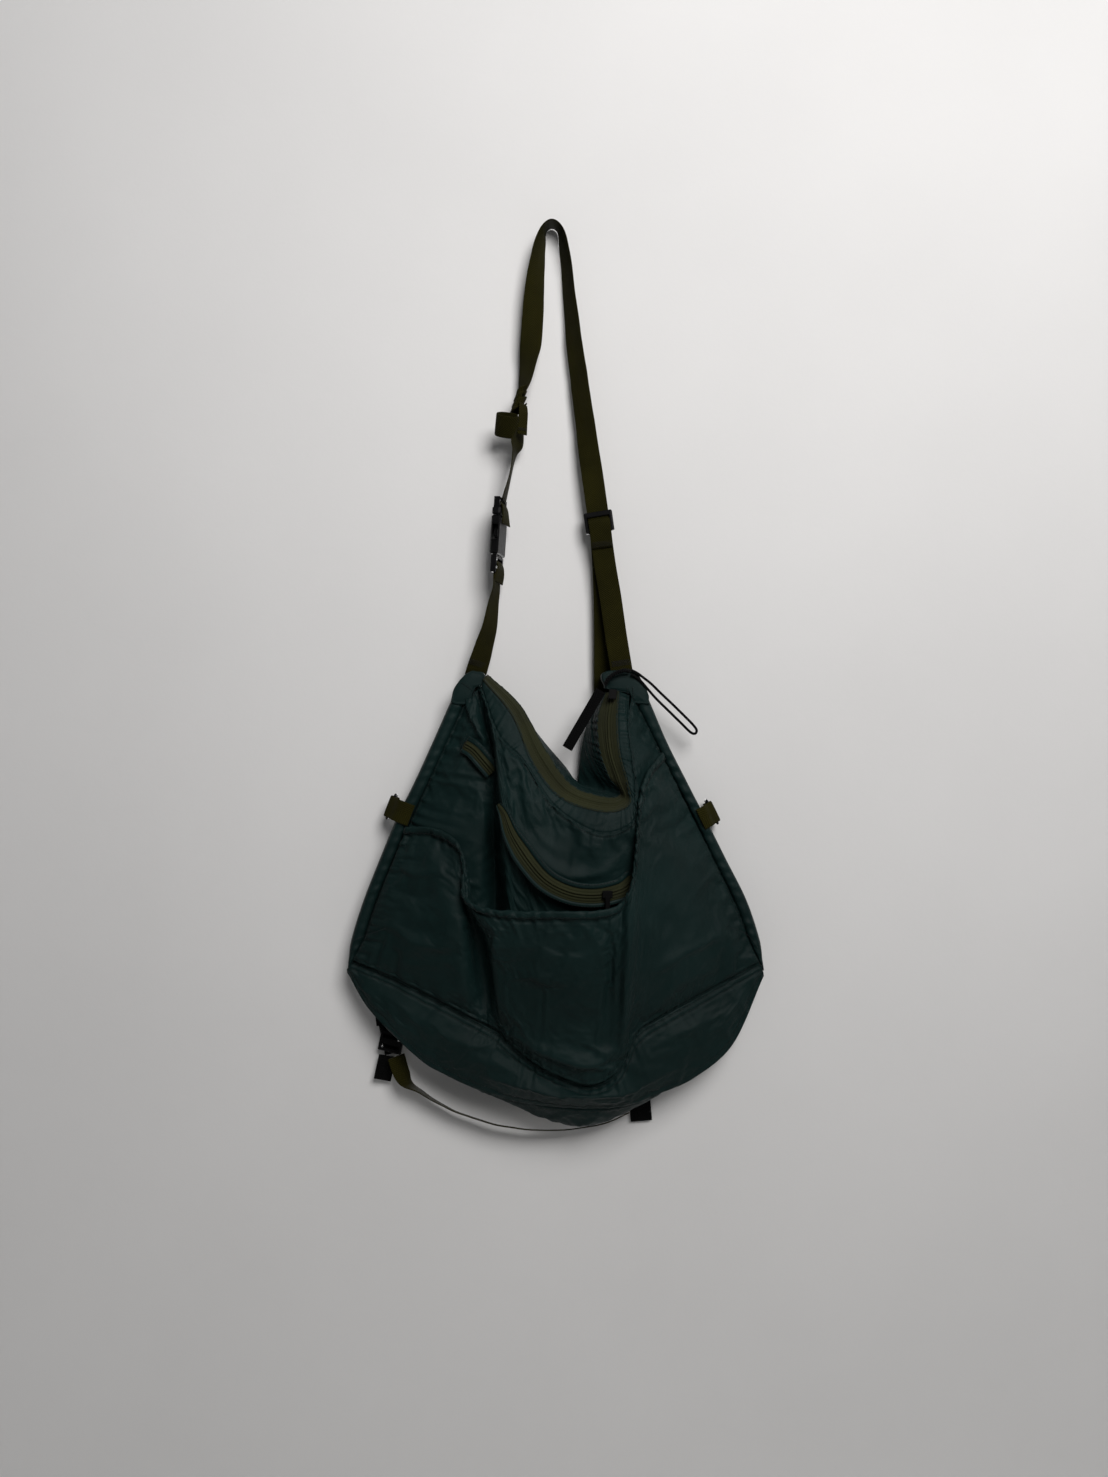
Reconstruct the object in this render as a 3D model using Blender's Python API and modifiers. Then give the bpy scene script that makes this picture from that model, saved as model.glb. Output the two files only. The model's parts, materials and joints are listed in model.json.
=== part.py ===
"""A soft nylon sling bag that hangs by its webbing strap from a peg.

The frame: +X to the viewer's right, +Z up, the bag's front towards -Y. The origin is the hang point, where
the strap passes over the peg. Points of the bag are written (x, z, d) in millimetres, where d is how far the
point stands out from the wall that the bag hangs against.
"""

from math import cos, pi, radians, sin

import bmesh
import bpy
from mathutils import Matrix, Vector

# Driving dimensions, in millimetres.
MM = 0.001
WALL_BEHIND_PEG_POINT = 14.0  # how far the wall is behind the strap's centre line
PANEL_THICKNESS = 1.5  # two layers of nylon with a thin foam
WEBBING_WIDTH = 25.0
WEBBING_THICKNESS = 1.5
BOTTOM_WEBBING_WIDTH = 20.0
TAPE_THICKNESS = 0.8
BACK_PLANE = 8.0  # the flat back panel's distance from the wall
BINDING_WIDTH = 9.0
BINDING_THICKNESS = 3.0
CORD_DIAMETER = 3.0
RING_WIRE = 3.2
BUCKLE_WIDTH = 34.0
BUCKLE_THICKNESS = 10.0
PRONG_THICKNESS = 3.2
FRAME_THICKNESS = 6.4  # of the buckle's ladder ends and the tri-glide
WEBBING_SLOT = 26.6  # the width of a slot that takes the shoulder webbing
WEBBING_SLOT_GAP = 4.4
BOTTOM_SLOT = 21.5
CLEARANCE = 0.4
THROUGH = 12.0  # a cutter's depth, right through a fitting

# Colours of the material slots, linear, with roughness and metallic value.
LOOKS = {
    "shell_nylon": ((0.020, 0.036, 0.036), 0.55, 0.0),
    "olive_webbing": ((0.030, 0.030, 0.012), 0.80, 0.0),
    "olive_zip_tape": ((0.048, 0.050, 0.028), 0.75, 0.0),
    "zip_coil": ((0.030, 0.032, 0.020), 0.40, 0.0),
    "black_plastic": ((0.010, 0.010, 0.010), 0.35, 0.0),
    "black_webbing": ((0.008, 0.008, 0.008), 0.80, 0.0),
    "black_cord": ((0.006, 0.006, 0.006), 0.70, 0.0),
    "slider_metal": ((0.020, 0.020, 0.018), 0.35, 0.9),
}

# The front panel's cage. A row is a seam or level, a column is a fold line that runs down the bag:
# left rim, left middle, left end, valley, ridge of the cowl, four across the cowl, fold, and four to the
# right rim.
FRONT_CAGE = [
    [(-94, -549, 32), (-92, -547, 34), (-88, -543, 35), (-85, -540, 33), (-82, -537, 37), (-60, -593, 61),
     (-31, -621, 71), (2, -670, 82), (50, -699, 91), (88, -688, 89), (92, -655, 81), (89, -615, 70),
     (86, -575, 54), (88, -546, 36)],
    [(-106, -575, 32), (-97, -577, 43), (-83, -580, 50), (-75, -584, 42), (-71, -574, 62), (-60, -620, 74),
     (-42, -655, 81), (-4, -700, 88), (48, -728, 94), (86, -715, 90), (96, -680, 80), (98, -640, 68),
     (100, -610, 54), (110, -588, 32)],
    [(-119, -603, 32), (-100, -603, 46), (-78, -620, 52), (-67, -632, 48), (-63, -640, 79), (-53, -672, 85),
     (-38, -708, 89), (-8, -745, 93), (42, -767, 94), (78, -762, 88), (98, -735, 78), (108, -700, 66),
     (120, -670, 52), (140, -650, 32)],
    [(-189, -760, 33), (-140, -768, 50), (-84, -768, 50), (-64, -765, 34), (-54, -762, 76), (-44, -775, 80),
     (-26, -790, 82), (0, -805, 84), (42, -815, 84), (80, -812, 80), (104, -800, 72), (130, -790, 60),
     (160, -783, 50), (204, -779, 33)],
    [(-211, -820, 33), (-160, -842, 48), (-90, -856, 48), (-66, -858, 42), (-52, -860, 58), (-42, -868, 66),
     (-24, -880, 70), (0, -888, 72), (42, -893, 72), (80, -890, 70), (106, -880, 66), (135, -866, 60),
     (170, -848, 50), (221, -824, 33)],
    [(-223, -847, 32), (-171, -868, 44), (-95, -903, 58), (-70, -915, 60), (-62, -920, 62), (-50, -930, 66),
     (-30, -947, 70), (0, -963, 75), (42, -975, 79), (74, -958, 78), (92, -922, 71), (128, -900, 63),
     (165, -883, 52), (232, -849, 32)],
]

# The main zip's edges, from the left corner down the V and up its right branch. The first is sewn to the
# front top strip, and the second to the back top strip.
ZIP_FRONT_EDGE = [
    (-78, -527, 38), (-44, -568, 55), (-19, -624, 67), (12, -660, 76), (58, -674, 84), (84, -666, 83),
    (82, -642, 77), (74, -611, 68), (72, -574, 54), (75, -541, 38),
]
ZIP_BACK_EDGE = [
    (-74, -521, 18), (-36, -557, 36), (-7, -608, 50), (22, -647, 58), (60, -660, 64), (76, -656, 64),
    (64, -638, 60), (54, -608, 50), (52, -573, 40), (61, -542, 28),
]
# Where the cloth behind the zip turns down into the back panel.
BACK_FOLD = [
    (-72, -524, 12), (-38, -562, 13), (-8, -600, 14), (16, -628, 16), (28, -646, 18), (30, -643, 18),
    (32, -622, 17), (35, -600, 16), (42, -574, 14), (56, -547, 13),
]

# The pocket panel's cage, with the front panel's columns. Its first row is the mouth.
POCKET_CAGE = [
    [(-163, -698, 39), (-134, -698, 51), (-106, -711, 66), (-96, -736, 76), (-96, -765, 86), (-78, -779, 97),
     (-40, -783, 108), (0, -782, 114), (50, -781, 116), (76, -770, 110), (88, -722, 99), (95, -670, 88),
     (105, -636, 72), (122, -614, 39)],
    [(-195, -778, 39), (-150, -795, 60), (-102, -820, 74), (-78, -832, 58), (-59, -838, 88), (-45, -838, 98),
     (-22, -838, 103), (5, -838, 106), (48, -838, 108), (75, -835, 110), (96, -815, 99), (118, -790, 86),
     (150, -760, 66), (187, -748, 39)],
    [(-210, -822, 39), (-165, -838, 58), (-100, -868, 72), (-72, -880, 60), (-56, -885, 82), (-44, -888, 90),
     (-22, -892, 94), (5, -895, 96), (48, -895, 98), (76, -890, 101), (98, -872, 92), (130, -850, 82),
     (172, -830, 64), (221, -826, 39)],
    [(-223, -847, 38), (-171, -866, 50), (-97, -900, 64), (-72, -912, 65), (-58, -918, 70), (-48, -928, 74),
     (-28, -945, 78), (0, -961, 82), (42, -973, 86), (73, -956, 86), (92, -919, 78), (128, -897, 70),
     (165, -880, 58), (232, -848, 38)],
]

# The base panel from the base seam to the bottom edge, and the rear base panel from there to the back.
BASE_CAGE = [
    [(-227, -851, 33), (-173, -872, 45), (-97, -906, 60), (-73, -918, 63), (-59, -924, 65), (-49, -934, 69),
     (-29, -951, 73), (0, -967, 78), (42, -979, 81), (75, -962, 81), (93, -925, 74), (129, -903, 66),
     (166, -886, 55), (235, -852, 33)],
    [(-231, -856, 34), (-192, -887, 46), (-122, -932, 60), (-95, -945, 66), (-78, -953, 70), (-60, -963, 73),
     (-34, -976, 76), (0, -987, 79), (43, -993, 82), (80, -984, 80), (108, -959, 74), (146, -939, 66),
     (188, -913, 54), (238, -858, 34)],
    [(-232, -862, 30), (-206, -905, 37), (-150, -956, 47), (-118, -973, 53), (-95, -983, 56), (-70, -991, 59),
     (-40, -999, 62), (0, -1004, 65), (45, -1006, 66), (85, -1003, 64), (120, -991, 60), (160, -975, 54),
     (205, -940, 43), (240, -866, 30)],
]
REAR_BASE_CAGE = [
    [(-230, -862, 25), (-203, -904, 32), (-147, -954, 42), (-116, -971, 48), (-93, -981, 51), (-69, -989, 54),
     (-39, -997, 57), (0, -1003, 60), (45, -1005, 61), (84, -1001, 59), (118, -989, 55), (157, -973, 49),
     (202, -939, 38), (238, -866, 25)],
    [(-226, -866, 18), (-200, -905, 22), (-145, -958, 28), (-112, -978, 32), (-88, -990, 35), (-62, -1001, 38),
     (-34, -1014, 40), (0, -1030, 41), (40, -1036, 42), (80, -1022, 40), (116, -1000, 36), (156, -976, 30),
     (200, -938, 24), (234, -868, 18)],
    [(-222, -866, 12), (-196, -901, 12), (-140, -952, 12), (-108, -971, 12), (-86, -981, 12), (-60, -991, 12),
     (-32, -1001, 12), (0, -1011, 12), (40, -1016, 12), (78, -1004, 12), (112, -986, 12), (150, -966, 12),
     (196, -932, 12), (230, -866, 12)],
]
BACK_CAGE = [
    [(-93, -548), (-80, -536), (-38, -568), (-8, -606), (29, -654), (37, -606), (58, -552), (88, -548)],
    [(-134, -640), (-95, -650), (-50, -670), (-10, -690), (30, -705), (60, -685), (100, -660), (134, -642)],
    [(-183, -748), (-125, -752), (-70, -757), (-20, -762), (30, -767), (85, -762), (140, -755), (188, -748)],
    [(-211, -832), (-150, -860), (-90, -870), (-25, -880), (35, -880), (100, -870), (160, -860), (220, -832)],
    [(-218, -858), (-165, -922), (-100, -964), (-35, -988), (35, -1002), (105, -978), (170, -942), (226, -856)],
]

# The edge bands: the seam with the front panel, and the outermost line.
LEFT_BAND_SEAM = [(-98, -552), (-118, -597), (-139, -642), (-161, -688), (-180, -733), (-199, -779),
                  (-214, -824), (-226, -848)]
LEFT_BAND_RIM = [(-115, -550), (-136, -597), (-157, -643), (-179, -688), (-198, -734), (-216, -780),
                 (-230, -825), (-233, -849)]
RIGHT_BAND_SEAM = [(93, -552), (116, -597), (138, -642), (162, -688), (183, -733), (206, -779),
                   (223, -824), (235, -848)]
RIGHT_BAND_RIM = [(111, -550), (131, -597), (154, -643), (177, -688), (200, -734), (223, -780),
                  (238, -825), (241, -849)]
BAND_FRONT, BAND_MIDDLE, BAND_BACK = 33.0, 21.0, 10.0

LEFT_PATCH = [(-84, -533), (-83, -522), (-92, -519), (-104, -528), (-114, -546), (-98, -548)]
RIGHT_PATCH = [(66, -538), (64, -521), (93, -519), (103, -532), (110, -547), (94, -547), (88, -541)]
PATCH_FRONT, PATCH_BACK = 35.0, 10.0

# The second zip's centre line, in two stretches: left of the ridge, and across the cowl.
FRONT_ZIP_LEFT = [(-99, -601, 50), (-88, -608, 54), (-77, -620, 57)]
FRONT_ZIP = [(-52, -678, 90), (-43, -701, 94), (-24, -730, 97), (-5, -750, 99), (20, -762, 100),
             (45, -765, 100), (66, -762, 97)]
FRONT_ZIP_WIDTH = 22.0

# The webbing's centre line and the turn of its width out of the wall's plane, in degrees.
STRAP_UPPER = [
    (-36, -203, 24, -68), (-31, -185, 22, -52), (-27, -160, 20, -34), (-24, -135, 18, 0), (-22, -105, 17, 12),
    (-20, -75, 16, 30), (-16, -38, 14.5, 52), (-12.5, -18, 14, 66), (-8, -5, 14, 84), (0, 0, 14, 90),
    (8, -5, 14, 96), (12.5, -20, 14, 110), (16.5, -50, 14.5, 118), (20, -86, 16, 123), (25, -135, 18, 134),
    (31, -180, 18.5, 141), (37, -224, 19, 148), (42, -262, 19.5, 160), (47, -296, 20, 172),
    (54, -346, 21, 172), (61, -396, 22, 172), (67, -432, 23.5, 177), (73, -475, 26, 180), (79, -514, 30, 180),
]
STRAP_RETURN = [(56.5, -361, 17, -8), (58.5, -388, 14.5, -4), (60.5, -430, 13, 0), (61, -480, 12, 0),
                (61, -514, 11.5, 0)]
STRAP_LEFT_ANCHOR = [
    (-63.5, -409, 27, 78), (-64, -424, 26, 74), (-68, -445, 24, 62), (-72, -468, 22, 50), (-79, -492, 21, 34),
    (-86, -515, 21, 20),
]
STRAP_LINK = [(-36.5, -217.5, 25, 90), (-36, -238, 25, 90), (-38, -256, 25.5, 84), (-42, -268, 26, 78),
              (-47, -290, 27, 84), (-54, -319, 28, 80)]
STRAP_SQUARE_PLY = [(-31, -217.5, 20, 80), (-31.5, -236, 20, 80), (-32, -249, 20, 80)]

BOTTOM_STRAP = [
    (-180, -962, 16, 15), (-174, -980, 17, 25), (-166, -993, 18, 50), (-150, -1003, 19, 70),
    (-126, -1017, 20, 82), (-100, -1028, 22, 86), (-49, -1040.5, 26, 86), (9, -1043, 28, 86),
    (60, -1036, 26, 86), (88, -1026, 20, 86),
]
BOTTOM_TAIL = [(-191, -963, 9, 8), (-194, -977, 9, 8), (-197, -991, 10, 8)]
BOTTOM_ANCHOR = [(-190, -872, 5, -6), (-195, -900, 5.5, -6), (-192, -928, 8, -10)]
RIGHT_TAB = [(100, -996, 6, 0), (102, -1016, 5.5, 0), (104, -1040, 5.5, 0)]

PULL_WRAP = [(60, -534, 45), (64, -527, 46), (72, -521, 45), (82, -518, 44), (88, -519, 42)]
PULL_CORD = [
    (90, -517.5, 40.5), (97, -521, 39), (104, -526, 37.5), (113, -533, 36), (124, -543.5, 34),
    (138, -556.5, 32), (151, -569, 30), (161, -579, 28.5), (165.5, -585.5, 28), (163.5, -589.5, 28),
    (158, -587.5, 28.5), (147, -577, 30), (133, -563.5, 32), (118.5, -549.5, 34), (109, -539, 36),
    (101, -530, 37.5), (94, -524.5, 39), (89.5, -522.5, 40.5),
]
TAB_TOP, TAB_END = (55, -541, 46), (17, -606, 60)
TAB_WIDTH, TAB_THICKNESS = 12.0, 2.2

SLIDER_TOP, SLIDER_BOTTOM = (68.5, -545, 44.8), (62.5, -592, 60.8)
FRONT_SLIDER = (60, -763, 102)
BUCKLE_CENTRE, BUCKLE_TILT, BUCKLE_TURN = (-60, -342, 27), 3.5, 78.0
GLIDE_CENTRE, GLIDE_TILT, GLIDE_TURN = (54, -346, 21), -7.97, -8.0
LADDER_CENTRE = (-186, -946, 13)
# A side loop's sewn end, the way that it points, and its length to the ring's bar.
SIDE_LOOPS = {"left": ((-160, -683), 159.0, 27.0), "right": ((161, -691), 26.0, 26.0)}


def at(x, z, d):
    """The point in metres, in the bag's frame."""
    return Vector((x, WALL_BEHIND_PEG_POINT - d, z)) * MM


def between(points, t):
    """The smooth curve through the points at t, which counts them from 0."""
    last = len(points) - 1
    i = min(int(t), last - 1)
    f = t - i
    p1, p2 = Vector(points[i]), Vector(points[i + 1])
    p0 = Vector(points[i - 1]) if i > 0 else 2 * p1 - p2
    p3 = Vector(points[i + 2]) if i + 2 <= last else 2 * p2 - p1
    return 0.5 * (2 * p1 + (p2 - p0) * f + (2 * p0 - 5 * p1 + 4 * p2 - p3) * f * f
                  + (3 * p1 - p0 - 3 * p2 + p3) * f ** 3)


def curve_points(points, each):
    """Points on the smooth curve, with that many steps from each given point to the next."""
    return [between(points, k / each) for k in range((len(points) - 1) * each + 1)]


def clear_scene():
    for obj in list(bpy.data.objects):
        bpy.data.objects.remove(obj, do_unlink=True)


def new_collection(name, hidden=False):
    collection = bpy.data.collections.new(name)
    collection.hide_render = hidden
    bpy.context.scene.collection.children.link(collection)
    return collection


def look(name, slot):
    color, roughness, metallic = LOOKS[slot]
    material = bpy.data.materials.new(name)
    material.use_nodes = True
    shader = material.node_tree.nodes["Principled BSDF"]
    shader.inputs["Base Color"].default_value = (*color, 1.0)
    shader.inputs["Roughness"].default_value = roughness
    shader.inputs["Metallic"].default_value = metallic
    return material


def mesh_object(name, vertices, faces, slot, collection=None):
    mesh = bpy.data.meshes.new(name)
    mesh.from_pydata([tuple(v) for v in vertices], [], faces)
    obj = bpy.data.objects.new(name, mesh)
    (collection or BAG).objects.link(obj)
    mesh.materials.append(look(name, slot))
    mesh.shade_smooth()
    mesh.set_sharp_from_angle(angle=radians(40))
    return obj


def set_origin(obj, point):
    """Moves the object's origin to its joint's axis and leaves its shape in place."""
    obj.data.transform(Matrix.Translation(-point))
    obj.location = obj.location + point


def grid_faces(across, down, flip=False):
    faces = []
    for j in range(down):
        for i in range(across):
            a = j * (across + 1) + i
            corner = [a, a + across + 1, a + across + 2, a + 1]
            faces.append(corner[::-1] if flip else corner)
    return faces


def panel(name, rows, each_across=2, each_down=2, flip=False, slot="shell_nylon",
          thickness=PANEL_THICKNESS):
    """A sewn panel: the open surface through the cage, with its thickness towards the bag's inside."""
    across = [curve_points(row, each_across) for row in rows]
    columns = [curve_points([row[i] for row in across], each_down) for i in range(len(across[0]))]
    down = len(columns[0])
    vertices = [at(*columns[i][j]) for j in range(down) for i in range(len(columns))]
    obj = mesh_object(name, vertices, grid_faces(len(columns) - 1, down - 1, flip), slot)
    solidify = obj.modifiers.new("thickness", "SOLIDIFY")
    solidify.thickness = thickness * MM
    solidify.offset = -1.0
    return obj


def loft(name, sections, slot, cyclic=False):
    """A closed solid through sections that each have the same number of points."""
    n = len(sections[0])
    vertices = [p for section in sections for p in section]
    faces = []
    for j in range(len(sections) if cyclic else len(sections) - 1):
        a, b = j * n, (j + 1) % len(sections) * n
        faces += [(a + i, b + i, b + (i + 1) % n, a + (i + 1) % n) for i in range(n)]
    if not cyclic:
        faces.append(tuple(range(n)))
        faces.append(tuple(range(len(vertices) - 1, len(vertices) - n - 1, -1)))
    obj = mesh_object(name, vertices, faces, slot)
    work = bmesh.new()
    work.from_mesh(obj.data)
    bmesh.ops.recalc_face_normals(work, faces=work.faces)
    work.to_mesh(obj.data)
    work.free()
    return obj


def ribbon(name, stations, width, thickness, slot, each=3):
    """Flat webbing along stations (x, z, d, turn), where turn is its width's angle out of the wall's plane."""
    points = curve_points(stations, each)
    centres = [at(*p[:3]) for p in points]
    sections = []
    for k, p in enumerate(points):
        along = (centres[min(k + 1, len(points) - 1)] - centres[max(k - 1, 0)]).normalized()
        side = Vector((cos(radians(p[3])), sin(radians(p[3])), 0))
        side = (side - side.dot(along) * along).normalized() * width / 2 * MM
        up = side.cross(along).normalized() * thickness / 2 * MM
        sections.append([centres[k] + a * side + b * up for a, b in ((-1, -1), (1, -1), (1, 1), (-1, 1))])
    return loft(name, sections, slot)


def strip(name, path, width_axis, width, thickness, slot):
    """A flat strip that bends along a path of points in metres, its width along one fixed axis."""
    side = width_axis.normalized() * width / 2 * MM
    sections = []
    for k, centre in enumerate(path):
        along = path[min(k + 1, len(path) - 1)] - path[max(k - 1, 0)]
        up = side.cross(along).normalized() * thickness / 2 * MM
        sections.append([centre + a * side + b * up for a, b in ((-1, -1), (1, -1), (1, 1), (-1, 1))])
    return loft(name, sections, slot)


def tube(name, points, diameter, slot, sides=2, closed=False):
    """A round cord or wire through points in metres."""
    curve = bpy.data.curves.new(name, "CURVE")
    curve.dimensions = "3D"
    curve.bevel_depth = diameter / 2 * MM
    curve.bevel_resolution = sides
    curve.use_fill_caps = not closed
    spline = curve.splines.new("POLY")
    spline.points.add(len(points) - 1)
    for place, point in zip(spline.points, points, strict=True):
        place.co = (*point, 1)
    spline.use_cyclic_u = closed
    obj = bpy.data.objects.new(name, curve)
    BAG.objects.link(obj)
    curve.materials.append(look(name, slot))
    return obj


def frame_at(centre, turn, tilt):
    """Places a fitting: its local X is its width, Y its thickness and Z its length up the webbing."""
    return Matrix.Translation(at(*centre)) @ Matrix.Rotation(radians(tilt), 4, "Y") @ Matrix.Rotation(
        radians(turn), 4, "Z")


def block(name, size, centre, frame, slot=None, bevel=0.0, rounds=2):
    """A box in millimetres in a fitting's frame. Without a slot it is a cutter."""
    work = bmesh.new()
    bmesh.ops.create_cube(work, size=1.0)
    bmesh.ops.scale(work, vec=Vector(size) * MM, verts=work.verts)
    bmesh.ops.translate(work, vec=Vector(centre) * MM, verts=work.verts)
    if bevel:
        bmesh.ops.bevel(work, geom=work.edges[:] + work.verts[:], offset=bevel * MM, segments=rounds,
                        profile=0.5, affect="EDGES")
    mesh = bpy.data.meshes.new(name)
    work.to_mesh(mesh)
    work.free()
    mesh.transform(frame)
    obj = bpy.data.objects.new(name, mesh)
    if slot:
        BAG.objects.link(obj)
        mesh.materials.append(look(name, slot))
        mesh.shade_smooth()
        mesh.set_sharp_from_angle(angle=radians(40))
    else:
        CUTTERS.objects.link(obj)
        obj.hide_render = True
        obj.display_type = "WIRE"
    return obj


def combine(obj, operation, *others):
    """Cuts or joins other solids with a Boolean modifier each."""
    for other in others:
        modifier = obj.modifiers.new(other.name, "BOOLEAN")
        modifier.operation = operation
        modifier.object = other
    return obj


def outline_solid(name, outline, front, back, slot, bevel):
    """A flat outline (x, z) given its depth between two distances from the wall, with rounded edges."""
    sections = [[at(x, z, d) for x, z in outline] for d in (front, back)]
    obj = loft(name, sections, slot)
    rounded = obj.modifiers.new("rounded", "BEVEL")
    rounded.width = bevel * MM
    rounded.segments = 2
    rounded.limit_method = "ANGLE"
    return obj


def offset_rows(edge_a, edge_b, share_a, share_b):
    """The two rows of a strip that lies between these shares of the way from one edge to the other."""
    pairs = list(zip(edge_a, edge_b, strict=True))
    return [[tuple(Vector(a).lerp(Vector(b), share)) for a, b in pairs] for share in (share_a, share_b)]


def make_panels():
    panel("front_panel", FRONT_CAGE)
    panel("pocket_panel", POCKET_CAGE)
    panel("base_panel", BASE_CAGE)
    panel("rear_base_panel", REAR_BASE_CAGE)
    back_rows = [[(x, z, BACK_PLANE) for x, z in row] for row in BACK_CAGE]
    panel("back_panel", back_rows, flip=True)
    first = 4  # the cowl's ridge, where the strip starts
    strip_rows = offset_rows(ZIP_FRONT_EDGE, FRONT_CAGE[0][first:], 0.10, 0.79)
    panel("front_top_strip", strip_rows, each_down=1)
    panel("back_top_strip", offset_rows(ZIP_BACK_EDGE, BACK_FOLD, 0.07, 1.0), each_down=3, flip=True)


def make_bands():
    """The padded edge bands, thinner at each end, and the patches that cover the top corners."""
    lines = {"left": (LEFT_BAND_SEAM, LEFT_BAND_RIM), "right": (RIGHT_BAND_SEAM, RIGHT_BAND_RIM)}
    for side, (seam, rim) in lines.items():
        sections = []
        for s, r in zip(curve_points(seam, 2), curve_points(rim, 2), strict=True):
            m = s.lerp(r, 0.62)
            profile = [(s, BAND_FRONT), (m, BAND_FRONT - 1.5), (r, BAND_MIDDLE + 4), (r, BAND_MIDDLE - 4),
                       (m, BAND_BACK + 1), (s, BAND_BACK)]
            sections.append([at(p.x, p.y, d) for p, d in profile])
        loft(f"{side}_edge_band", sections, "shell_nylon")
    outline_solid("left_corner_patch", LEFT_PATCH, PATCH_FRONT, PATCH_BACK, "shell_nylon", 2.5)
    outline_solid("right_corner_patch", RIGHT_PATCH, PATCH_FRONT, PATCH_BACK, "shell_nylon", 2.5)


def make_binding():
    """The rolled binding along the pocket's mouth, lifted clear of the panel's edge."""
    mouth = [at(p.x, p.y, p.z - PANEL_THICKNESS / 2) for p in curve_points(POCKET_CAGE[0], 2)]
    below = [at(*p) for p in curve_points(POCKET_CAGE[1], 2)]
    sections = []
    for k, centre in enumerate(mouth):
        along = (mouth[min(k + 1, len(mouth) - 1)] - mouth[max(k - 1, 0)]).normalized()
        up = centre - below[k]
        up = (up - up.dot(along) * along).normalized()
        out = along.cross(up)
        lift = up * (BINDING_WIDTH / 2 * 0.5 + 0.8) * MM
        high, thick = up * BINDING_WIDTH / 4 * MM, out * BINDING_THICKNESS / 2 * MM
        angles = [2 * pi * q / 6 for q in range(6)]
        sections.append([centre + lift + high * cos(a) + thick * sin(a) for a in angles])
    loft("pocket_binding", sections, "shell_nylon")


def make_main_zip():
    """Two tapes that meet on a centre line, with the coil under it, as on a reverse coil zip."""
    for name, low, high in (("main_zip_tape_front", 0.0, 0.48), ("main_zip_tape_back", 0.52, 1.0)):
        rows = offset_rows(ZIP_FRONT_EDGE, ZIP_BACK_EDGE, low, high)
        panel(name, rows, each_down=1, slot="olive_zip_tape", thickness=TAPE_THICKNESS)
    middle = offset_rows(ZIP_FRONT_EDGE, ZIP_BACK_EDGE, 0.5, 0.5)[0]
    under = [at(p.x, p.y - 2.4, p.z - 4.0) for p in curve_points(middle, 4)][3:-3]
    tube("main_zip_coil", under, 2.8, "zip_coil", sides=1)


def tape(name, centre_line, offset, width, each=2):
    """A zip tape beside its centre line, facing the front."""
    points = curve_points(centre_line, each)
    rows = [[], []]
    for k, p in enumerate(points):
        along = points[min(k + 1, len(points) - 1)] - points[max(k - 1, 0)]
        up = Vector((-along.y, along.x, 0)).normalized()
        for row, shift in zip(rows, (offset + width, offset), strict=True):
            row.append(tuple(p + up * shift))
    return panel(name, rows, each_across=1, each_down=1, slot="olive_zip_tape", thickness=TAPE_THICKNESS)


def make_front_zip():
    half = FRONT_ZIP_WIDTH / 2 - CLEARANCE
    tape("front_zip_tape_upper", FRONT_ZIP, CLEARANCE, half)
    tape("front_zip_tape_lower", FRONT_ZIP, -CLEARANCE - half, half)
    tape("front_zip_left_end", FRONT_ZIP_LEFT, -8.0, 16.0)
    under = [at(p.x, p.y, p.z - 2.4) for p in curve_points(FRONT_ZIP, 3)][1:-1]
    tube("front_zip_coil", under, 2.2, "zip_coil", sides=1)


def make_strap():
    ribbon("strap_upper", STRAP_UPPER, WEBBING_WIDTH, WEBBING_THICKNESS, "olive_webbing")
    ribbon("strap_return_ply", STRAP_RETURN, WEBBING_WIDTH, WEBBING_THICKNESS, "olive_webbing", 2)
    ribbon("strap_left_anchor", STRAP_LEFT_ANCHOR, WEBBING_WIDTH, WEBBING_THICKNESS, "olive_webbing")
    ribbon("strap_link", STRAP_LINK, WEBBING_WIDTH, WEBBING_THICKNESS, "olive_webbing", 4)
    ribbon("strap_square_ply", STRAP_SQUARE_PLY, 14.0, WEBBING_THICKNESS, "olive_webbing", 2)
    make_wrap()
    make_tail_loop()


def make_wrap():
    """The gathered turns that hold the strap's loose tail."""
    sections = []
    for z, d, wide, deep in ((-205, 24, 5, 7), (-208, 24, 7.5, 8.5), (-212, 24, 8.5, 9), (-215.5, 24, 7, 8)):
        x = -37 - (-205 - z) * 0.25
        angles = [2 * pi * q / 10 for q in range(10)]
        sections.append([at(x + wide * cos(a), z, d + deep * sin(a)) for a in angles])
    loft("strap_wrap", sections, "olive_webbing")


def make_tail_loop():
    """The tail, rolled into an open loop."""
    wide, deep, turns = 12.0, 9.0, 14
    for_height = WEBBING_WIDTH / 2 + 2
    path = []
    for q in range(turns + 1):
        a = radians(-60) + radians(332) * q / turns
        path.append(at(-52.5 - wide * cos(a), -239.5, 33 + deep * sin(a)))
    axis = Vector((0.16, -0.28, 1.0))
    strip("strap_tail_loop", path, axis, 2 * for_height, WEBBING_THICKNESS, "olive_webbing")


def make_tri_glide():
    frame = frame_at(GLIDE_CENTRE, GLIDE_TURN, GLIDE_TILT)
    glide = block("tri_glide", (33, FRAME_THICKNESS, 24), (0, 0, 0), frame, "black_plastic", bevel=1.6)
    web = block("web_channel", (WEBBING_SLOT, 3.6, 40), (0, 0, 0), frame)
    front = block("front_window", (WEBBING_SLOT, 10, 13), (0, -4.9, 0), frame)
    combine(glide, "DIFFERENCE", web, front)
    set_origin(glide, at(*GLIDE_CENTRE))


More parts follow.
